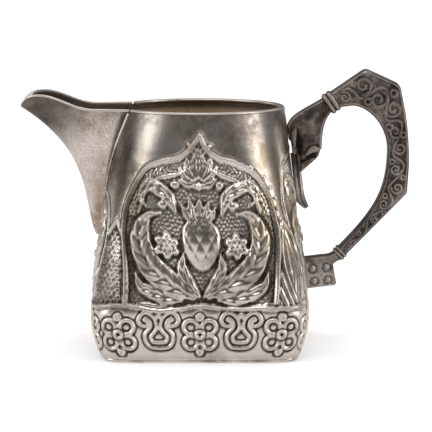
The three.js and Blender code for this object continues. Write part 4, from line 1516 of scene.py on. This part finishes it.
@dataclass
class Spout:
    """The spout's sheet, its lip and the soldered seam round it."""

    shape: SpoutShape
    finishes: Finishes
    wires: WireTree
    columns: int = 181
    rows: int = 121
    seam_wire: float = 0.85
    lip_width: float = 1.0

    def sheet_piece(self) -> None:
        """Makes the bent sheet, closed round its edges."""
        side = np.linspace(0.0, 1.0, self.columns)[None, :]
        share = (np.linspace(0.0, 1.0, self.rows) ** 1.3)[:, None]
        top = self.shape.top(side, self.shape.wire * 0.6)
        foot = self.shape.foot + 0.015 * self.shape.height
        z = foot + (top - foot) * share
        outer = self.shape.at(np.broadcast_to(side, z.shape), z)
        normals = -grid_normals(outer)
        inner = outer - normals * self.shape.sheet
        crest = outer[-1, self.columns // 2]
        # Painted shade: the sheet is painted darker towards its tip.
        from_tip = np.hypot(outer[..., 0] - crest[0], 1.6 * (outer[..., 2] - crest[2]))
        tip = np.minimum(0.9, 0.95 * ramp(33.0, 7.0, from_tip))
        to_seam = np.minimum(side, 1.0 - side) + np.zeros(z.shape)
        seam_side = ramp(0.036, 0.014, to_seam)
        stain = ramp(0.24, 0.02, to_seam) * ramp(76.0, 56.0, z) * 0.8 + ramp(14.0, 3.0, top - z) * 0.65
        stain += ramp(53.0, 42.0, z)
        clean = np.zeros(z.shape)
        marks = {
            "oxide_and_shade": np.append(np.maximum.reduce([tip, seam_side, 0.34 * ramp(5.5, 1.5, top - z)]), clean),
            "gilt": np.append(np.clip(stain, 0.0, 1.0), clean),
            "inside": np.append(clean, ramp(0.0, 0.5, top - z)),
        }
        points, shading = np.stack([outer, inner]), np.stack([normals, -normals])
        faces = shell_faces(self.rows, self.columns)
        piece = make_piece("spout_sheet", points, faces, self.finishes.spout, shading, marks)
        settle(piece, "chased_silver", "spout")

    def lip_piece(self) -> None:
        """Makes the wire along the lip, from seam to seam."""
        side = np.linspace(0.002, 0.998, 221)
        z = self.shape.top(side, self.shape.wire * 0.55)
        side_step, up_step = 2e-3, 0.05
        sideways = self.shape.at(side + side_step, z) - self.shape.at(side - side_step, z)
        upward = self.shape.at(side, z + up_step) - self.shape.at(side, z - up_step)
        path = self.shape.at(side, z) - unit(np.cross(upward, sideways)) * self.shape.sheet / 2.0
        piece = self.wires.sweep("spout_lip_wire", path, self.lip_width, self.lip_width, self.finishes.wire)
        settle(piece, "bright_silver", "spout_lip")

    def seam_piece(self) -> None:
        """Makes the bead of solder along the joint between the spout and the body."""
        z = self.shape.foot + self.shape.height * np.linspace(0.0, 0.985, 90) ** 2
        half, n = self.shape.wall.half_width(z), self.shape.wall.squareness(z)
        y = self.shape.seam(z) + 0.25
        x = -half * (1.0 - (y / half) ** n) ** (1.0 / n)
        path = np.vstack([np.column_stack([x, y, z])[::-1], np.column_stack([x, -y, z])[1:]])
        piece = self.wires.sweep("spout_seam", path, self.seam_wire, self.seam_wire, self.finishes.chased)
        settle(piece, "chased_silver")

    def build(self) -> None:
        """Makes the spout's pieces."""
        self.sheet_piece()
        self.lip_piece()
        self.seam_piece()


def along(point: Point, angle: float, forward: float, across: float) -> Point:
    """The point at a distance forward along a direction, in radians, and a distance to its left."""
    c, s = math.cos(angle), math.sin(angle)
    return (point[0] + forward * c - across * s, point[1] + forward * s + across * c)


def ends_of(joint: Point, angle: float, forward: float, depth: float) -> tuple[Point, Point]:
    """The left and the right corner of a bar's end, a distance forward of a joint."""
    return tuple(along(joint, angle, forward, hand * depth / 2.0) for hand in (1.0, -1.0))


def rounded(points: Sequence[Point], cuts: Sequence[float]) -> Array:
    """A run of straight lines with rounded corners.

    Args:
        points: The run's corners, with its ends.
        cuts: Length cut off on each side of each corner between the ends.

    Returns:
        The run's points.
    """
    made = [points[:1]]
    for before, corner, after, cut in zip(points, points[1:], points[2:], cuts):
        start, end = (corner + unit(np.subtract(way, corner)) * cut for way in (before, after))
        made.append(bezier(start, corner, end, steps=8))
    return np.vstack([*made, points[-1:]])


def share_near(path: Array, point: Point) -> float:
    """Share of a path's length at the place nearest to a point."""
    _, share = nearest(path, np.array([point[0]]), np.array([point[1]]), 1e3)
    return float(share[0])


def at_shares(path: Array, shares: Array, run: Array | None = None) -> Array:
    """Points at places along a path.

    Args:
        path: The path's points.
        shares: The places, as shares of the path's length or as values of run.
        run: A measure along the path, where the shares aren't of its length.

    Returns:
        The points.
    """
    if run is None:
        run = run_along(path)
        run /= run[-1]
    return np.column_stack([np.interp(shares, run, path[:, k]) for k in range(2)])


def paired_edges(
    outer: Array, inner: Array, pairs: Sequence[tuple[Point, Point]], count: int
) -> tuple[Array, Array]:
    """Spreads points along two edges so that given places lie opposite each other.

    Args:
        outer: One edge.
        inner: The other edge.
        pairs: Places near the two edges that lie opposite each other, besides their ends.
        count: Points along each edge.

    Returns:
        The points of the two edges.
    """
    shares = [(0.0, 0.0), *((share_near(outer, a), share_near(inner, b)) for a, b in pairs), (1.0, 1.0)]
    even = np.linspace(0.0, 1.0, count)
    return at_shares(outer, even), at_shares(inner, np.interp(even, *zip(*shares)))


@dataclass
class Limb:
    """A cast bar in the handle's plane between two edges, with flat sides that carry relief."""

    name: str
    outer: Array
    inner: Array
    half: Array | float
    bevel: float
    cells: int = 24
    rim_cells: int = 8
    edge_polish_and_sheen: float = 0.9
    crown: float = 0.0
    painted_shade: Array | float = 0.0
    aged: float = 0.08
    aged_more: float = 0.32
    aged_from: float = 58.0
    aged_to: float = 76.0

    def piece(self, ornament: Ornament, finish: Finish) -> Piece:
        """Makes the bar.

        Args:
            ornament: Gives the relief's height on the sides at places in the handle's plane.
            finish: Its material.

        Returns:
            The piece.
        """
        span = self.outer - self.inner
        depth = np.linalg.norm(span, axis=1)
        cut = np.minimum(self.bevel, 0.3 * depth)
        spread = np.linspace(0.0, 1.0, self.cells)
        place = (cut / depth)[:, None] + (1.0 - 2.0 * cut / depth)[:, None] * spread
        side = self.inner[:, None, :] + span[:, None, :] * place[..., None]
        heights = soften(ornament(side[..., 0], side[..., 1]), 1, 1)
        half = np.broadcast_to(self.half, depth.shape)
        flat = half[:, None] + heights - self.crown * (2.0 * spread - 1.0) ** 2
        low = half - self.crown
        hollow = soften(heights, 3) - heights
        broad = soften(heights, 8) - heights
        age = self.aged + self.aged_more * ramp(self.aged_from, self.aged_to, side[..., 1])
        oxide_and_shade = np.clip(ramp(0.0, 0.16, hollow) * 0.6 + ramp(0.02, 0.3, broad) * 0.3 + age, 0.0, 1.0)
        polish_and_sheen = np.clip(ramp(0.02, 0.14, -hollow) * 0.9 + ramp(0.03, 0.3, -broad) * 0.4, 0.0, 1.0)

        # Painted light and shade on each chamfer: a light line along both its edges and a dark band between
        # them. The narrow rim faces are darker.
        bevel = [(0.14, 0.0, self.edge_polish_and_sheen), (0.86, 0.7, 0.0), (1.0, 0.0, self.edge_polish_and_sheen)]
        lines = []
        for sign, at_outer in ((-1.0, True), (1.0, False)):
            for j in range(self.cells) if at_outer else reversed(range(self.cells)):
                lines.append((place[:, j], sign * flat[:, j], oxide_and_shade[:, j], polish_and_sheen[:, j]))
            edge = [(part, sign * (low - cut * part), dark, light) for part, dark, light in bevel]
            for part in np.linspace(0.92, -0.92, self.rim_cells):
                edge.append((1.0, sign * part * (low - cut), 0.35, 0.0))
            edge += [(part, sign * (cut * part - low), dark, light) for part, dark, light in bevel[::-1]]
            for part, y, dark, light in edge:
                inward = (1.0 - part) * cut / depth
                lines.append((1.0 - inward if at_outer else inward, y, dark, light))
        grids = [[np.broadcast_to(given, depth.shape) for given in line] for line in lines]
        share, y, dark, light = np.array(grids).transpose(1, 2, 0)
        x, z = np.moveaxis(self.inner[:, None] + span[:, None] * share[..., None], -1, 0)
        # Painted shade, where a bar asks for it, darkens the bar and takes its polish away.
        painted_shade = np.broadcast_to(self.painted_shade, depth.shape)[:, None]
        marks = {"oxide_and_shade": np.maximum(dark, painted_shade), "polish_and_sheen": light * (1.0 - painted_shade)}
        points, faces = np.stack([x, y, z], axis=-1), tube_faces(*y.shape)
        return make_piece(self.name, points, faces, finish, None, marks)


@dataclass
class Handle:
    """The cast handle: an angular grip on an upper and a lower bracket, joined by collars."""

    wall: Wall
    finishes: Finishes
    punches: PunchTree
    reach: float = 70.4
    width: float = 7.6
    bevel: float = 0.9
    limb: float = 7.8
    swell: float = 0.7
    crest_rise: float = 11.3
    crest_offset: float = 11.4
    shoulder_inset: float = 3.8
    shoulder_drop: float = 5.3
    heel_inset: float = 1.2
    heel_rise: float = 20.4
    corner: float = 1.5
    bracket_width: float = 7.0
    bracket_round: float = 0.8
    proud: float = 0.5
    gap: float = 0.3
    upper_drop: float = 7.0
    seat_height: float = 2.2
    upper_reach: float = 14.7
    upper_rise: float = 8.0
    upper_angle: float = math.radians(34.0)
    upper_depth: float = 5.4
    upper_hump: float = 5.4
    upper_grip: float = 5.8
    upper_collar: float = 3.4
    waist_out: float = 10.7
    jaw_out: float = 9.9
    chin_out: float = 7.4
    jaw_drop: float = 15.2
    chin_drop: float = 18.6
    toe_drop: float = 22.3
    slit: float = 0.65
    tongue_top: float = 16.5
    tongue_length: float = 18.4
    tongue_thickness: float = 2.6
    tongue_tip: float = 1.5
    tongue_width: float = 6.4
    tongue_curl: float = 2.6
    tongue_bend: float = 3.8
    lower_height: float = 25.0
    plate_length: float = 10.2
    plate_height: float = 10.2
    plate_waist: float = 0.4
    lower_reach: float = 11.8
    lower_rise: float = 6.8
    lower_angle: float = math.radians(46.0)
    lower_depth: float = 3.4
    lower_run: float = 3.4
    lower_collar: float = 2.4
    rivet_head: float = 2.1
    rivet_dome: float = 0.7
    rivet_out: float = 4.6
    rivet_up: float = 4.3
    rivet_drop: float = 0.6
    punch_gap: float = 0.9
    vine_wave: float = 13.0
    vine_line: float = 0.3
    vine_rise: float = 0.36
    border_inset: float = 1.5

    def off_wall(self, z: float, off: float) -> Point:
        """A point of the handle's plane at a height, a distance off the wall."""
        return (float(self.wall.half_width(np.array(z))) + off, z)

    @property
    def upper_joint(self) -> Point:
        """Middle of the upper collar."""
        x, z = self.off_wall(self.wall.height - self.upper_drop, self.upper_reach)
        return (x, z + self.upper_rise)

    @property
    def lower_joint(self) -> Point:
        """Middle of the lower collar."""
        x, z = self.off_wall(self.lower_height, self.lower_reach)
        return (x, z + self.lower_rise)

    def grip_edges(self) -> tuple[Array, Array]:
        """The grip's outer and inner edges, from the upper collar to the lower one.

        Returns:
            The two edges, with as many points each.
        """
        high, low = self.upper_collar / 2.0, self.lower_collar / 2.0
        top, under = ends_of(self.upper_joint, self.upper_angle, high, self.upper_grip)
        inner_end, outer_end = ends_of(self.lower_joint, self.lower_angle, low, self.lower_depth)
        crest = (self.upper_joint[0] + self.crest_offset, self.upper_joint[1] + self.crest_rise)
        shoulder = (self.reach - self.shoulder_inset, crest[1] - self.shoulder_drop)
        heel = (self.reach - self.heel_inset, self.lower_joint[1] + self.heel_rise)
        middle = 0.5 * (shoulder[1] + heel[1])
        bow = bezier(shoulder, (self.reach + self.swell, middle), heel, steps=12)
        upper_run = rounded([top, crest, shoulder, tuple(bow[3])], (self.corner, self.corner))
        lower_run = rounded([tuple(bow[9]), heel, outer_end], (self.corner / 2.0,))
        outer = np.vstack([upper_run[:-1], bow[3:9], lower_run])
        inner_x = self.reach - self.limb
        loop_top = under[1] + self.proud
        widest = 0.5 * (heel[1] + loop_top)
        rise = along(inner_end, self.lower_angle, (inner_x - inner_end[0]) * 1.05, 0.0)
        over = (under[0] + self.limb / 2.0, loop_top)
        bend, side = (inner_x - 0.8 * self.limb, loop_top), (inner_x, widest)
        crown = bezier(over, bend, (inner_x, 0.5 * (widest + loop_top)), side)
        fall = bezier(side, (inner_x, heel[1]), rise, inner_end, steps=40)
        inner = np.vstack([np.array([under]), crown, fall[1:]])
        pairs = (
            (crest, (crest[0] - 2.6, loop_top - 0.2)),
            (shoulder, (inner_x - 1.8, shoulder[1] - 10.0)),
            (heel, (inner_x - 2.2, heel[1] + 1.0)),
        )
        return paired_edges(outer, inner, pairs, 521)

    def grip_piece(self) -> None:
        """Makes the grip, with a curling vine between raised border lines."""
        outer, inner = self.grip_edges()
        middle = 0.5 * (outer + inner)
        run = run_along(middle)
        depth = np.linalg.norm(outer - inner, axis=1)

        def place(distance: Array, share: Array) -> Array:
            """Points of the side at distances along the grip and shares across it."""
            out, into = (at_shares(edge, distance, run) for edge in (outer, inner))
            return into + (out - into) * share[:, None]

        wave, inset = self.vine_wave, self.border_inset
        distance = np.linspace(3.0, run[-1] - 4.0, 320)
        lines = [offset_path(inner, -inset)[4:-4], offset_path(outer, inset)[4:-4]]
        lines.append(place(distance, 0.5 + 0.26 * np.sin(FULL_TURN * distance / wave)))
        for k, start in enumerate(np.arange(wave / 4.0, run[-1] - 6.0, wave / 2.0)):
            hand = -1.0 if k % 2 else 1.0
            size = float(np.interp(start, run, depth))
            back, here, ahead = place(start + np.array([-0.5, 0.0, 0.5]), np.full(3, 0.5 - 0.08 * hand))
            heading = math.atan2(ahead[1] - back[1], ahead[0] - back[0])
            radii = (0.25 * size, 0.06 * size)
            lines.append(spiral_path(tuple(here), radii, heading + 0.5 * math.pi * hand, -1.3 * hand))
            bud = place(np.array([start + 0.25 * wave]), np.array([0.5 + 0.27 * hand]))[0]
            lines.append(spiral_path(tuple(bud), (0.09 * size, 0.09 * size), 0.0, 1.0))

        def ornament(x: Array, z: Array) -> Array:
            """Heights of the vine, its curls and buds and the borders on the grip's sides."""
            away = np.minimum.reduce([nearest(line, x, z, 2.0)[0] for line in lines])
            return self.vine_rise * hump(away, self.vine_line) - 0.12 - 0.08 * stipple(x, z, self.punch_gap)

        bar = Limb("grip", outer, inner, self.width / 2.0, self.bevel, 48)
        settle(bar.piece(ornament, self.finishes.cast), "cast_silver", "handle_grip")

    def bracket_piece(self) -> None:
        """Makes the upper bracket: a scrolled knuckle with a jaw over the tongue."""
        back_off = -self.upper_collar / 2.0
        top, under = ends_of(self.upper_joint, self.upper_angle, back_off, self.upper_depth)
        mouth = self.wall.height
        seat = mouth - self.upper_drop
        seat_end = seat - 2.0 * self.seat_height
        step = mouth - self.tongue_top + self.gap
        face = self.tongue_thickness - 2.0 * self.gap
        seat_top, seat_under = self.off_wall(seat, 0.0), self.off_wall(seat_end, 0.0)
        slit_top, slit_under = self.off_wall(seat_end - self.slit, self.slit), self.off_wall(step, self.slit)
        ledge, toe = self.off_wall(step, face), self.off_wall(mouth - self.toe_drop, face)
        waist = self.off_wall(0.5 * (slit_top[1] + slit_under[1]), self.waist_out)
        jaw = self.off_wall(mouth - self.jaw_drop, self.jaw_out)
        chin = self.off_wall(mouth - self.chin_drop, self.chin_out)
        rise = self.upper_hump
        knuckle, nape = np.add(seat_top, ((rise, rise), (self.bracket_round, 0.7 * rise)))
        back = np.vstack([bezier(top, knuckle, nape, seat_top), seat_under, slit_top, slit_under, ledge, toe])
        throat = bezier(under, (waist[0], 0.25 * (3.0 * under[1] + waist[1])), waist)
        chops = bezier(jaw, (jaw[0], 0.5 * (jaw[1] + chin[1])), chin, steps=10)
        front = np.vstack([throat, chops, (toe[0] + self.bracket_round, toe[1])])
        pairs = []
        for mark in (seat_top, seat_under, slit_top, slit_under, ledge):
            pairs.append((mark, (float(np.interp(-mark[1], -front[:, 1], front[:, 0])), mark[1])))
        outer, inner = paired_edges(back, front, pairs, 161)

        hollow = (slit_under[0] + 2.2, waist[1] - 0.6)
        fold = smooth_path(np.add(jaw, ((0.4, -2.4), (-2.6, -1.6), (-5.6, -3.4))))
        cheek = smooth_path(np.add(seat_under, ((2.2, 3.8), (1.6, 1.0), (1.9, -2.4))))
        roll = smooth_path(np.add(jaw, ((0.0, 0.6), (-2.4, 0.5), (-5.0, -1.6))))

        def ornament(x: Array, z: Array) -> Array:
            """Heights of the knuckle's hollow, the rolled jaw and the fold under it.

            Args:
                x: Places along X.
                z: Heights over the table.

            Returns:
                The heights.
            """
            relief = Relief(x, z, chased_depth=0.12)
            dish = np.exp(-(((x - hollow[0]) / 1.3) ** 2 + ((z - hollow[1]) / 4.6) ** 2))
            to_fold, _ = nearest(fold, x, z, 6.0)
            relief.sink(0.7 * dish + 0.7 * hump(to_fold, 0.9))
            Stroke(roll, 1.2, 0.45).stamp(relief)
            Stroke(cheek, 0.8, 0.6).stamp(relief)
            relief.height = relief.height - 0.07 * stipple(x, z, self.punch_gap)
            away, _ = nearest(offset_path(throat, -1.3), x, z, 2.0)
            return relief.height - 0.16 * hump(away, 0.3)

        bar = Limb("upper_knuckle", outer, inner, self.bracket_width / 2.0, 0.7, 34, crown=0.9)
        settle(bar.piece(ornament, self.finishes.cast), "cast_silver", "upper_bracket")

    def tongue_piece(self) -> None:
        """Makes the leaf under the upper bracket, with its tip bent off the wall."""
        top = self.wall.height - self.tongue_top
        root, end = top + 0.9 * self.gap, top - self.tongue_length
        bend, curl, tip = self.tongue_bend, self.tongue_curl, self.tongue_tip
        skin = self.gap + self.tongue_thickness
        even = np.linspace(0.0, 1.0, 91)
        edges = []
        for held in (
            ((bend, 0.0), (bend / 2.0, 0.0), (0.0, curl)),
            ((2.0 * bend, skin), (bend, skin), (tip / 2.0, curl + tip)),
        ):
            leaf = bezier(*(self.off_wall(end + up, off) for up, off in held))
            edges.append(at_shares(np.vstack([self.off_wall(root, held[0][1]), leaf]), even))
        inner, outer = edges
        half = self.tongue_width / 2.0 * (0.62 + 0.38 * ramp(0.0, 0.35, even))
        half *= 1.0 - 0.75 * ramp(0.6, 1.0, even) ** 1.6
        groove = 0.5 * (inner + outer)

        def ornament(x: Array, z: Array) -> Array:
            """Depth of the groove along the leaf's edge."""
            away, _ = nearest(groove, x, z, 3.0)
            return -0.35 * hump(away, 0.55)

        # Painted shade: the leaf's top end, under the bracket, is painted dark.
        painted_shade = 0.85 * ramp(0.42, 0.12, even)
        bar = Limb("tongue_leaf", outer, inner, half, 0.7, 14, painted_shade=painted_shade)
        settle(bar.piece(ornament, self.finishes.worn), "cast_silver", "bracket_tongue")

    def plate_point(self, out: float, up: float) -> Point:
        """A point of the lower plate at a distance off the wall and up along it."""
        return along(self.off_wall(self.lower_height, 0.0), self.wall.lean, out, up)

    def plate_piece(self) -> None:
        """Makes the lower bracket: a plate square off the wall, with a neck up to the collar."""
        half = self.plate_height / 2.0
        back_off = -self.lower_collar / 2.0
        neck_top, neck_under = ends_of(self.lower_joint, self.lower_angle, back_off, self.lower_depth)
        toe = self.plate_point(self.plate_length, -half)
        waist = self.plate_point(self.plate_length - self.plate_waist, 0.0)
        armpit = self.plate_point(self.plate_length - self.plate_waist, self.rivet_up / 2.0)
        start = self.plate_point(self.plate_length - self.lower_run, half)
        bend = along(neck_top, self.lower_angle, -self.lower_run / 2.0, 0.0)
        under = rounded([self.plate_point(0.0, -half), toe, waist], (1.6 * self.bracket_round,))
        pit = (0.4 * armpit[0] + 0.6 * neck_under[0] - 0.7, 0.4 * armpit[1] + 0.6 * neck_under[1])
        lower = np.vstack([under, bezier(armpit, pit, neck_under, steps=10)])
        upper = np.vstack([[self.plate_point(0.0, half)], bezier(start, bend, neck_top)])
        outer, inner = paired_edges(upper, lower, [(start, toe)], 121)

        def ornament(x: Array, z: Array) -> Array:
            """Heights of the plate's punched ground and of the lines round its rivets.

            Args:
                x: Places along X.
                z: Heights over the table.

            Returns:
                The heights.
            """
            height = -0.16 - 0.08 * stipple(x, z, 0.8)
            for spot in self.rivet_spots():
                away = np.hypot(x - spot[0], z - spot[1]) - 0.62 * self.rivet_head
                height = height - 0.22 * hump(away, 0.3)
            return height

        bar = Limb("lower_plate", outer, inner, self.bracket_width / 2.0, 0.4, 36)
        settle(bar.piece(ornament, self.finishes.worn), "cast_silver", "lower_bracket")

    def rivet_spots(self) -> list[Point]:
        """Places the four rivets in the handle's plane.

        Returns:
            Their middles, the two lower ones first.
        """
        outs = [self.plate_length / 2.0 + hand * self.rivet_out for hand in (-0.5, 0.5)]
        ups = [hand * self.rivet_up - self.rivet_drop for hand in (-0.5, 0.5)]
        return [self.plate_point(out, up) for up in ups for out in outs]

    def rivet_pieces(self) -> None:
        """Sets a domed rivet head on each side of the lower plate at each of its four rivets."""
        for k, (x, z) in enumerate(self.rivet_spots(), 1):
            seat = self.bracket_width / 2.0 - 0.05
            points = np.array([[x, -seat, z], [x, seat, z]])
            facing = np.array([[0.0, -1.0, 0.0], [0.0, 1.0, 0.0]])
            size = (self.rivet_head / 2.0, self.rivet_dome)
            piece = self.punches.stamp(f"rivet_head_{k}", points, facing, size, self.finishes.rivet, k)
            settle(piece, "bright_silver", f"rivet_{k}")

    def collar_piece(self, name: str, joint: Point, angle: float, size: tuple[float, float, float]) -> None:
        """Makes a ring with two beads over a joint of the handle.

        Args:
            name: Which of the two collars it is.
            joint: Its middle in the handle's plane.
            angle: The way that its length runs, in radians.
            size: Its length, its depth in the handle's plane and its width across it.
        """
        length, depth, width = size
        turn = np.linspace(0.0, FULL_TURN, 72, endpoint=False)
        c, s = np.cos(turn), np.sin(turn)
        reach = 1.0 / (np.abs(c) ** 5 + np.abs(s) ** 5) ** 0.2
        part = np.linspace(0.0, 1.0, 33)[:, None]
        bead = np.abs(np.sin(FULL_TURN * part)) + np.zeros(turn.shape)
        x, z = along(joint, angle, (part - 0.5) * length, (depth / 2.0 + self.proud * bead) * c * reach)
        y = (width / 2.0 + self.proud * bead) * s * reach
        marks = {"oxide_and_shade": (1.0 - bead) ** 2, "polish_and_sheen": bead**3}
        points, faces = np.stack([x, y, z], axis=-1), tube_faces(*bead.shape)
        piece = make_piece(f"{name}_ring", points, faces, self.finishes.cast, None, marks)
        settle(piece, "cast_silver", f"{name}_collar")

    def build(self) -> None:
        """Makes the handle's pieces."""
        self.grip_piece()
        self.bracket_piece()
        self.tongue_piece()
        self.plate_piece()
        self.rivet_pieces()
        upper = (self.upper_collar, self.upper_depth + 1.0, self.width)
        lower = (self.lower_collar, self.lower_depth + 0.4, self.bracket_width)
        self.collar_piece("upper", self.upper_joint, self.upper_angle, upper)
        self.collar_piece("lower", self.lower_joint, self.lower_angle, lower)


@dataclass(frozen=True)
class SoftBox:
    """A soft lamp that looks at the jug, turned in degrees from the front towards the handle."""

    name: str
    azimuth: float
    size: Point
    radiance: float
    height: float = 0.42
    distance: float = 1.1
    aim: float = 0.045

    def hang(self) -> None:
        """Hangs the lamp."""
        light = bpy.data.lights.new(self.name, "AREA")
        light.shape = "RECTANGLE"
        light.size, light.size_y = self.size
        light.energy = self.radiance * math.pi * self.size[0] * self.size[1]
        made = added(self.name, light)
        turn = math.radians(self.azimuth)
        made.location = (self.distance * math.sin(turn), -self.distance * math.cos(turn), self.height)
        tilt = math.atan2(self.height - self.aim, self.distance)
        made.rotation_euler = (math.pi / 2.0 - tilt, 0.0, turn)
        made.visible_camera = False


@dataclass
class Studio:
    """A pale floor, soft lights and a camera at the photograph's viewing angle."""

    camera_place: tuple[float, float, float] = (0.00525, -0.9, 0.161)
    camera_dip: float = 7.4
    lens: float = 225.0
    sensor: float = 36.0
    floor_size: float = 60.0
    paper: Colour = (0.86, 0.86, 0.86)
    paper_mirrored: Colour = (0.6, 0.6, 0.6)
    glow: float = 0.1
    glow_mirrored: float = 0.8
    white: Colour = (1.0, 1.0, 1.0)
    ambient: Colour = (1.25, 1.25, 1.25)
    room_low: Colour = (0.3, 0.3, 0.31)
    room_wall: Colour = (0.07, 0.07, 0.073)
    room_top: Colour = (0.8, 0.8, 0.81)
    boxes: Sequence[SoftBox] = (
        SoftBox("left_box", -70.0, (0.52, 0.85), 2.7),
        SoftBox("right_box", 71.0, (0.48, 0.85), 3.1),
        SoftBox("top_box", -12.0, (0.6, 0.32), 2.2, height=0.95, distance=0.6),
        SoftBox("back_left_box", -128.0, (0.5, 0.8), 1.2),
        SoftBox("back_right_box", 128.0, (0.5, 0.8), 1.2),
    )

    def floor(self) -> None:
        """Lays a white floor that keeps a soft shadow."""
        half = self.floor_size / 2.0
        mesh = bpy.data.meshes.new("floor")
        corners = [(-half, -half, 0.0), (half, -half, 0.0), (half, half, 0.0), (-half, half, 0.0)]
        mesh.from_pydata(corners, [], [(0, 1, 2, 3)])
        paper = bpy.data.materials.new("white_floor")
        paper.use_nodes = True
        graph = Graph(paper.node_tree)
        matt = graph.node("ShaderNodeBsdfDiffuse", None, {"Color": self.paper}).outputs[0]
        tint = graph.blend(self.rays(graph, "Glossy"), self.white, self.paper_mirrored)
        glow = graph.node("ShaderNodeEmission", None, {"Color": tint}).outputs[0]
        mirrored = self.glow_mirrored * self.rays(graph, "Glossy", "Transmission")
        seen = self.glow * self.rays(graph, "Camera") + mirrored
        mixed = graph.node("ShaderNodeMixShader", None, {0: seen, 1: matt, 2: glow})
        graph.node("ShaderNodeOutputMaterial", None, {"Surface": mixed.outputs[0]})
        mesh.materials.append(paper)
        added("floor", mesh)

    def rays(self, graph: Graph, *kinds: str) -> Value:
        """1 for light rays of the given kinds, and 0 for others."""
        found = graph.node("ShaderNodeLightPath").outputs
        return sum(Value(graph, found[f"Is {kind} Ray"]) for kind in kinds).clipped()

    def world(self) -> None:
        """Sets an even sky for light, and for reflections a room that is pale near the floor."""
        made = bpy.data.worlds.new("studio")
        made.use_nodes = True
        graph = Graph(made.node_tree)
        way = graph.node("ShaderNodeTexCoord").outputs["Generated"]
        height = graph.value("ShaderNodeSeparateXYZ", None, {0: way}, "Z")
        room = graph.blend(height.stepped(0.0, 0.12), self.room_low, self.room_wall)
        room = graph.blend(height.stepped(0.45, 0.85), room, self.room_top)
        colour = graph.blend(self.rays(graph, "Glossy", "Transmission"), self.ambient, room)
        colour = graph.blend(self.rays(graph, "Camera"), colour, self.white)
        sky = graph.node("ShaderNodeBackground", None, {"Color": colour})
        graph.node("ShaderNodeOutputWorld", None, {"Surface": sky.outputs[0]})
        bpy.context.scene.world = made

    def camera(self) -> None:
        """Sets the camera at the photograph's viewing angle."""
        eye = bpy.data.cameras.new("camera")
        eye.sensor_fit = "HORIZONTAL"
        eye.sensor_width = self.sensor
        eye.lens = self.lens
        made = added("camera", eye)
        made.location = self.camera_place
        made.rotation_euler = (math.radians(90.0 - self.camera_dip), 0.0, 0.0)
        bpy.context.scene.camera = made

    def build(self) -> None:
        """Sets up the studio."""
        bpy.context.scene.view_settings.view_transform = "Standard"
        self.floor()
        self.world()
        for box in self.boxes:
            box.hang()
        self.camera()


def main() -> None:
    """Builds the jug and the studio in order."""
    logging.basicConfig(level=logging.INFO, format="%(name)s %(message)s")
    rim_low, rim_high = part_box("mouth_rim")
    wall = Wall(height=rim_high.z / MM, mouth=(rim_high.y - rim_low.y) / MM)
    finishes = Finishes()
    domes, rings, wires = PunchTree(False), PunchTree(True), WireTree()
    shape = SpoutShape(wall)
    body = ChasedBody(wall, shape, finishes, domes, rings, wires)
    body.build()
    Spout(shape, finishes, wires).build()
    Handle(wall, finishes, domes).build()
    Studio().build()


if __name__ == "__main__":
    main()
